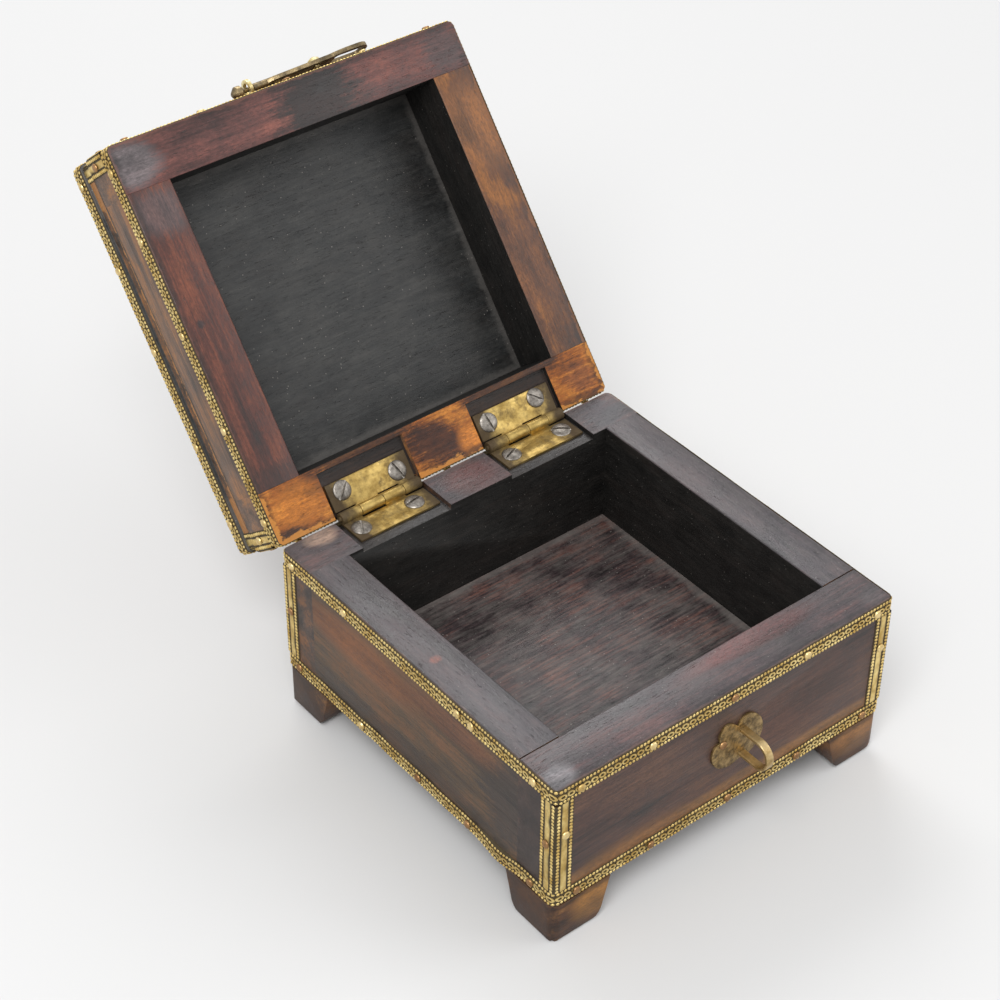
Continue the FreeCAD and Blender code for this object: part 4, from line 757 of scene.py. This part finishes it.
def flat_strip(length, width, profile, bead_rows, rings, seed):
    """A strip in mm: x along it, y across it and z off the wood."""
    chance = random.Random(seed)
    shape = bmesh.new()
    columns = max(4, round(length / 0.8))
    bmesh.ops.create_grid(shape, x_segments=columns, y_segments=len(profile) - 1, size=0.5)
    for vertex in shape.verts:
        share, height = profile[round((vertex.co.y + 0.5) * (len(profile) - 1))]
        vertex.co = Vector(((vertex.co.x + 0.5) * length, share * width, height))
    pieces = []
    for share, radius, pitch in bead_rows:
        count = round(length / pitch)
        for i in range(count):
            size = chance.uniform(0.92, 1.05)
            slant = Matrix.Rotation(math.radians(BEAD_SLANT_DEG + chance.uniform(-5, 5)), 4, "Z")
            at = Matrix.Translation(((i + 0.5) * length / count, share * width, BEAD_BASE))
            swell = Matrix.Diagonal((BEAD_HALF_ALONG * size, radius * size, BEAD_RISE * size, 1))
            pieces.append((BEAD, at @ slant @ swell))
    if rings:
        count = round(length / RING_PITCH)
        for i in range(count):
            slant = Matrix.Rotation(math.radians(RING_SLANT_DEG + chance.uniform(-4, 4)), 4, "Z")
            at = Matrix.Translation(((i + 0.5) * length / count, RING_ROW * width, RING_BASE))
            pieces.append((RING, at @ slant @ Matrix.Diagonal(RING_SIZE)))
    for mesh, place in pieces:
        bmesh.ops.transform(shape, matrix=place, verts=add_copy(shape, mesh))
    layer = shape.verts.layers.float.new("relief")
    for vertex in shape.verts:
        worn = 0.22 * noise.noise(Vector((vertex.co.x / 5.0, vertex.co.y / 3.0, seed)))
        vertex[layer] = max(0.0, min(1.0, (vertex.co.z - 0.18) / 0.42 + worn))
    return shape


print("a ring stands every", RING_PITCH, "mm")

# %% [markdown]
# Bands run right round the box, with softly rounded corners where the strip is bent. A curve
# modifier could bend them, but here each point of the flat strip is moved by a formula, which
# also lets a run wander. Nailing by hand leaves every run slightly wavy, and the bottom run on
# the left sags beside the front foot.

# %% Wrap the bands round the box
WOOD_HALF_MM, CORNER_MM = 74.5, 2.2
SAG_AT_MM, SAG_REACH_MM, SAG_MM = -47.0, 8.0, 0.9
LEFT_WAVE_MM, LEFT_WAVE_LONG_MM = 0.55, 11


def round_the_box(s, off):
    """The point at s mm along a rounded square, off mm outside it, starting at a middle."""
    straight = WOOD_HALF_MM - CORNER_MM
    arc = math.pi / 2 * CORNER_MM
    side_length = 2 * straight + arc
    side = int(s // side_length) % 4
    t = s - side_length * (s // side_length) - straight
    if t <= 0:
        point, normal = Vector((t + straight, -WOOD_HALF_MM)), Vector((0, -1))
    elif t <= arc:
        a = t / CORNER_MM
        normal = Vector((math.sin(a), -math.cos(a)))
        point = Vector((straight, -straight)) + normal * CORNER_MM
    else:
        point, normal = Vector((WOOD_HALF_MM, -straight + t - arc)), Vector((1, 0))
    point = point + normal * off
    turn = Matrix.Rotation(side * math.pi / 2, 2)
    return turn @ point


def band(node, seed, wave_mm, flip):
    """A stamped band round the whole box at a node's height."""
    turn = turn_of(node)
    low, high = closed_box(node)
    length = 8 * (WOOD_HALF_MM - CORNER_MM) + math.tau * CORNER_MM
    width = (high.z - low.z) / MM
    shape = flat_strip(length, width, BAND_PROFILE, BEAD_ROWS, True, seed)
    for vertex in shape.verts:
        s, v, h = vertex.co
        place = round_the_box(s, h)
        middle = (v / width - 0.5) * 2
        wave = wave_mm * noise.noise(Vector((place.x / 14, place.y / 14, seed)))
        v = width / 2 + middle * (width / 2 - wave_mm) + wave
        v = width - v if flip else v
        if node == "body_bottom_band" and place.x < -WOOD_HALF_MM:
            sag = SAG_MM * math.exp(-((place.y - SAG_AT_MM) / SAG_REACH_MM) ** 2)
            wave = noise.noise(Vector((place.y / LEFT_WAVE_LONG_MM, 7.5, seed)))
            v += LEFT_WAVE_MM * wave + sag
            place.x -= sag / 2
        vertex.co = turn @ Vector((place.x * MM, place.y * MM, high.z - v * MM))
    bmesh.ops.remove_doubles(shape, verts=[v for v in shape.verts if v.is_boundary],
                             dist=0.002 * MM)
    bmesh.ops.recalc_face_normals(shape, faces=shape.faces)
    piece = finish_mesh(shape, node + "_brass", [METALS["strip"]], node, 50)
    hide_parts(node)
    return piece


for node, seed, wave_mm, flip in (("body_top_band", 1, 0.10, False),
                                  ("body_bottom_band", 2, 0.28, False),
                                  ("lid_rim_band", 3, 0.12, True),
                                  ("lid_top_band", 4, 0.12, True)):
    made = band(node, seed, wave_mm, flip)
print("a band has", len(made.data.polygons), "faces")

# %% [markdown]
# Corner strips stand between the bands, two at each corner. All sixteen are made as if on the
# front and then turned to their own face. The lid has a shallow recess round it, and its strips
# fold over the shoulder of the recess, because thin brass follows what it is nailed to.

# %% Corner strips
FACE_TURN_DEG = {"front": 0, "right": 90, "back": 180, "left": -90}
SHOULDER_Z_MM, RECESS_MM, FOLD_MM = 91.3, 1.3, 0.8
CORNER_OVERLAP_MM = 0.15


def corner_strip(node, seed):
    """A stamped strip up a corner, from the box that the frame's plain strip fills."""
    turn = turn_of(node)
    face = node.split("_")[-2]
    unturn = Matrix.Rotation(-math.radians(FACE_TURN_DEG[face]), 4, "Z")
    cad = merged_copy(node)
    points = [unturn @ (turn.inverted() @ v.co) for v in cad.verts]
    cad.free()
    low, high = (corner / MM for corner in corners(points))
    length, width = high.z - low.z, high.x - low.x
    shape = flat_strip(length, width, POST_PROFILE, POST_BEADS, False, seed)
    to_face = turn @ unturn.inverted()
    for vertex in shape.verts:
        s, v, h = vertex.co
        wave = 0.075 * noise.noise(Vector((s / 9, seed, 0)))
        x = wave + low.x + v + math.copysign(CORNER_OVERLAP_MM, low.x)
        off = -WOOD_HALF_MM - h
        z = low.z + s
        limit = WOOD_HALF_MM
        if "lid" in node and z > SHOULDER_Z_MM:
            off += min(1.0, (z - SHOULDER_Z_MM) / FOLD_MM) * RECESS_MM
            limit -= RECESS_MM + 0.2
        x = max(-limit, min(limit, x))
        vertex.co = to_face @ (Vector((x, off, z)) * MM)
    bmesh.ops.recalc_face_normals(shape, faces=shape.faces)
    piece = finish_mesh(shape, node + "_brass", [METALS["strip"]], node, 50)
    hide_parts(node)


strips = sorted(node for node in frame["nodes"] if "_strip_" in node)
for i, node in enumerate(strips):
    corner_strip(node, 20 + i)
print(len(strips), "corner strips")

# %% [markdown]
# Tacks with cast domed heads hold the strip. The frame gives their places as plain discs, so
# each group is split into its loose parts, and a copy of one head is put on each. They were
# driven by hand, so the heads sit at slightly different depths and angles, and none is round.

# %% Where the tacks are
def loose_parts(shape):
    """The vertices of each separate part of a shape."""
    left, parts = set(shape.verts), []
    while left:
        part, todo = set(), [left.pop()]
        while todo:
            vertex = todo.pop()
            part.add(vertex)
            for edge in vertex.link_edges:
                other = edge.other_vert(vertex)
                if other in left:
                    left.remove(other)
                    todo.append(other)
        parts.append(part)
    return parts


def part_boxes(node):
    """The middle and half sizes of each part of a node, with the lid closed, in mm."""
    back = turn_of(node).inverted()
    shape = merged_copy(node)
    boxes = []
    for part in loose_parts(shape):
        low, high = corners([(back @ vertex.co) / MM for vertex in part])
        boxes.append(((low + high) / 2, (high - low) / 2))
    shape.free()
    return sorted(boxes, key=lambda box: tuple(round(c, 2) for c in box[0]))


def outward(centre):
    """The way the nearest face of the box looks."""
    if abs(centre.x) > abs(centre.y):
        return Vector((math.copysign(1, centre.x), 0, 0))
    return Vector((0, math.copysign(1, centre.y), 0))


print(len(part_boxes("body_band_nails")), "tacks on the box")

# %% Tack heads
HEAD = half_ball("tack_head", 16, 10)
FULLNESS = 3
for vertex in HEAD.vertices:
    # A cast head is fuller than a half ball, for which this would be 2
    vertex.co.z = max(0.0, 1 - vertex.co.xy.length ** FULLNESS) ** (1 / FULLNESS)
BRASSY_SHARE_ABOVE, BRASSY_SHARE_BELOW, BRASSY_FROM_MM = 0.65, 0.2, 40.0


def tacks(node, name):
    """Domed heads in place of a group of tacks. Some are brass and some have gone coppery."""
    turn = turn_of(node)
    chance = random.Random(name)
    shape = bmesh.new()
    for centre, half in part_boxes(node):
        way = outward(centre)
        thick = abs(half.dot(way))
        radius = max(half) * 1.06
        head = add_copy(shape, HEAD)
        seed = chance.uniform(0, 100)
        for vertex in head:
            lump = 1 + 0.12 * noise.noise(vertex.co * 1.3 + Vector((seed, 0, 0)))
            vertex.co.xy *= min(1.0, lump)
        facing = way.to_track_quat("Z", "Y").to_matrix().to_4x4()
        tilt = (Matrix.Rotation(math.radians(chance.uniform(-5, 5)), 4, "X")
                @ Matrix.Rotation(math.radians(chance.uniform(-5, 5)), 4, "Y"))
        base = centre - way * thick
        rise = 2 * thick * chance.uniform(0.82, 0.95)
        place = (Matrix.Scale(MM, 4) @ Matrix.Translation(base) @ facing @ tilt
                 @ Matrix.Diagonal((radius, radius, rise, 1)))
        bmesh.ops.transform(shape, matrix=turn @ place, verts=head)
        share = BRASSY_SHARE_ABOVE if centre.z > BRASSY_FROM_MM else BRASSY_SHARE_BELOW
        brassy = chance.random() < share
        for face in {face for vertex in head for face in vertex.link_faces}:
            face.material_index = 1 if brassy else 0
    piece = finish_mesh(shape, name, [METALS["tack"], METALS["gold_tack"]], node, 60)
    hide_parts(node)


tacks("body_band_nails", "body_tack_heads")
tacks("lid_band_nails", "lid_tack_heads")
tacks("hasp_plate_nails", "hasp_plate_tack_heads")
tacks("staple_plate_nail", "staple_plate_tack_head")
print("a tack's head has", len(HEAD.polygons), "faces")

# %% [markdown]
# Slotted steel wood screws hold the hinge leaves. Nobody lined them up, so the slots point
# every way. The frame's screws are plain, and the walls of their slots tell which way each one
# was left. The new head is a low dome with a skirt, and its slot is cut by two planes. Only one
# is made, and its copies are turned into place.

# %% Where the screws are
SLOT_DEEP_MM, RIM_DEEP_MM = 0.9, 1.6


def screw_places(node):
    """The top middle, the way it looks and the slot's direction of each screw, lid closed."""
    back = turn_of(node).inverted()
    shape = merged_copy(node)
    bmesh.ops.transform(shape, matrix=back, verts=shape.verts)
    axis = Vector((0, 0, 1 if BODY_OF[node] == "chest" else -1))
    found = []
    for part in loose_parts(shape):
        top = max(v.co.dot(axis) for v in part)
        faces = {face for v in part for face in v.link_faces}
        walls = [face for face in faces if abs(face.normal.dot(axis)) < 0.1
                 and face.calc_center_median().dot(axis) > top - SLOT_DEEP_MM * MM]
        wall = max(walls, key=lambda face: face.calc_area())
        low, high = corners([v.co for v in part if v.co.dot(axis) > top - RIM_DEEP_MM * MM])
        along = wall.normal.cross(axis).normalized()
        # Both ends of a slot are alike, so it is always read from the same one
        found.append(((low + high) / 2, top, along if along.x > 0 else -along))
    shape.free()
    return sorted(found, key=lambda entry: entry[0].x), axis


print(len(screw_places("body_hinge_screws")[0]), "screws in the box")

# %% One screw head
SCREW_RADIUS_MM, DOME_MM, SKIRT_MM = 3.75, 1.0, 1.3
SLOT_HALF_MM, SLOT_FLOOR_MM = 0.45, -0.85


def slotted_head():
    """A mesh in mm of a screw's head, with its top at the origin and its slot along x."""
    shape = bmesh.new()
    shape.from_mesh(half_ball("dome", 40, 16))
    for vertex in shape.verts:
        vertex.co = Vector((vertex.co.x * SCREW_RADIUS_MM, vertex.co.y * SCREW_RADIUS_MM,
                            vertex.co.z * DOME_MM - DOME_MM))
    rim = [edge for edge in shape.edges if edge.is_boundary]
    skirt = bmesh.ops.extrude_edge_only(shape, edges=rim)["geom"]
    down = [item for item in skirt if isinstance(item, bmesh.types.BMVert)]
    bmesh.ops.translate(shape, verts=down, vec=(0, 0, -SKIRT_MM))
    for side in (1, -1):
        bmesh.ops.bisect_plane(shape, geom=shape.verts[:] + shape.edges[:] + shape.faces[:],
                               plane_co=(0, side * SLOT_HALF_MM, 0), plane_no=(0, 1, 0),
                               dist=1e-5)
    floor = [face for face in shape.faces if face.normal.z > 0.3
             and max(abs(vertex.co.y) for vertex in face.verts) < SLOT_HALF_MM + 0.001]
    slot = bmesh.ops.extrude_face_region(shape, geom=floor)["geom"]
    lower = [item for item in slot if isinstance(item, bmesh.types.BMVert)]
    bmesh.ops.delete(shape, geom=floor, context="FACES")
    for vertex in lower:
        vertex.co.z = SLOT_FLOOR_MM
    mesh = bpy.data.meshes.new("screw_head")
    shape.to_mesh(mesh)
    shape.free()
    return mesh


SCREW = slotted_head()
print("a screw's head has", len(SCREW.polygons), "faces")

# %% Screws
def screws(node, name):
    """Slotted heads in place of a group of screws."""
    turn = turn_of(node)
    places, axis = screw_places(node)
    chance = random.Random(name)
    shape = bmesh.new()
    for centre, top, along in places:
        facing = Matrix((along, axis.cross(along), axis)).transposed().to_4x4()
        tilt = Matrix.Rotation(math.radians(chance.uniform(-3, 3)), 4, "X")
        at = Vector((centre.x, centre.y, axis.z * (top - 0.02 * MM)))
        place = turn @ Matrix.Translation(at) @ facing @ tilt @ Matrix.Scale(MM, 4)
        bmesh.ops.transform(shape, matrix=place, verts=add_copy(shape, SCREW))
    bmesh.ops.recalc_face_normals(shape, faces=shape.faces)
    piece = finish_mesh(shape, name, [METALS["steel"]], node, 40)
    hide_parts(node)


screws("body_hinge_screws", "body_hinge_screw_heads")
screws("lid_hinge_screws", "lid_hinge_screw_heads")
print("a screw's head is", 2 * SCREW_RADIUS_MM, "mm across")

# %% [markdown]
# The rest of the hardware is cut and bent from thick brass. Its shapes have to fit each other,
# the eye in its plate and the strap over its staple, so they aren't modelled again. Filing and
# years of use have rounded the edges, and worn copies of the frame's own shapes show that.

# %% Hinges, staple and hasp
def worn_metal(node, name, finish, width_mm, segments=2):
    """A copy of a metal node with rounded edges, in its place."""
    shape = merged_copy(node)
    wear_edges(shape, width_mm * MM, segments)
    piece = finish_mesh(shape, name, [METALS[finish]], node)
    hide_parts(node)


for side in ("left", "right"):
    worn_metal(side + "_hinge_body_leaf", side + "_hinge_box_leaf_brass", "hinge", 0.25)
    worn_metal(side + "_hinge_lid_leaf", side + "_hinge_lid_leaf_brass", "hinge", 0.25)
    worn_metal(side + "_hinge_pin", side + "_hinge_pin_brass", "hinge", 0.15)
worn_metal("staple", "staple_strap_brass", "staple", 0.3, 3)
worn_metal("staple_plate", "staple_plate_brass", "plate", 0.25, 3)
worn_metal("hasp_plate", "hasp_plate_brass", "plate", 0.2)
worn_metal("hasp_eye", "hasp_eye_brass", "eye", 0.25, 3)
worn_metal("hasp_strap", "hasp_strap_brass", "hasp", 0.3, 3)
worn_metal("hasp_boss", "hasp_boss_brass", "eye", 0.1)
print("hardware fitted")

# %% [markdown]
# A pale seamless sheet and large soft lights stand in for a plain product studio. The sheet is
# grey enough to show the chest's shadow. Further out it fades into a backdrop of the same pale
# tone, and only what the camera sees is changed, so that the backdrop throws no light.

# %% Floor
def stage_object(thing):
    """Adds something that belongs to the studio and not to the chest."""
    scene.collection.objects.link(thing)


def seen_directly(add):
    """1 for what the camera sees, also mirrored or through glass, and 0 for light itself."""
    mirrored, through, camera_ray = (add("LightPath", gives=f"Is {name} Ray")
                                     for name in ("Glossy", "Transmission", "Camera"))
    indirect = add("Math", {0: mirrored, 1: through}, operation="MAXIMUM")
    return add("Math", {0: camera_ray, 1: indirect}, operation="MAXIMUM")


FLOOR_HALF_M, FADE_FROM_M, FADE_TO_M = 4.0, 0.35, 1.3
PAPER, PAPER_GREY = linear("#f3f3f3"), linear("#dadada")
floor_shape = bmesh.new()
bmesh.ops.create_grid(floor_shape, x_segments=1, y_segments=1, size=FLOOR_HALF_M)
floor_mesh = bpy.data.meshes.new("floor")
floor_shape.to_mesh(floor_mesh)
floor_shape.free()
floor_material, floor_shader, add = new_material("pale_paper_floor")
floor_shader.inputs["Base Color"].default_value = PAPER_GREY
floor_shader.inputs["Roughness"].default_value = 1.0
floor_shader.inputs["Specular IOR Level"].default_value = 0.0
place = add("TexCoord", gives="Object")
far_out = add("VectorMath", {0: place}, gives="Value", operation="LENGTH")
far_out = add("MapRange", {0: far_out, 1: FADE_FROM_M, 2: FADE_TO_M})
far_out = add("Math", {0: far_out, 1: seen_directly(add)}, operation="MULTIPLY")
glow = add("Emission", {"Color": PAPER, "Strength": 1.0})
faded = add("MixShader", {0: far_out, 1: floor_shader.outputs[0], 2: glow})
feed(floor_material.node_tree.nodes["Material Output"], Surface=faded)
floor_mesh.materials.append(floor_material)
stage_object(bpy.data.objects.new("floor", floor_mesh))
print("the floor fades out from", FADE_FROM_M, "m")

# %% Lights
def soft_light(name, at, size, watts):
    """A large lamp that looks at the chest."""
    data = bpy.data.lights.new(name, "AREA")
    data.shape = "RECTANGLE"
    data.size, data.size_y = size
    data.energy = watts
    light = bpy.data.objects.new(name, data)
    light.location = at
    way = Vector(LAMP_AIM) - Vector(at)
    light.rotation_euler = way.to_track_quat("-Z", "Y").to_euler()
    stage_object(light)


LAMP_AIM = (0, 0, 0.05)
soft_light("key", (-0.9, -0.7, 1.5), (0.9, 0.9), 22)
soft_light("back", (0.5, 1.3, 1.3), (1.2, 0.8), 14)
soft_light("fill", (1.2, -0.9, 0.9), (1.0, 1.0), 6)

world = bpy.data.worlds.new("studio")
world.use_nodes = True
scene.world = world
add = partial(add_node, world.node_tree)
light_all_round = add("Background", {"Color": linear("#ffffff"), "Strength": 0.55})
backdrop = add("Background", {"Color": PAPER, "Strength": 1.0})
sky = add("MixShader", {0: seen_directly(add), 1: light_all_round, 2: backdrop})
feed(world.node_tree.nodes["World Output"], Surface=sky)
print("studio lit")

# %% Finish
print("scene built")
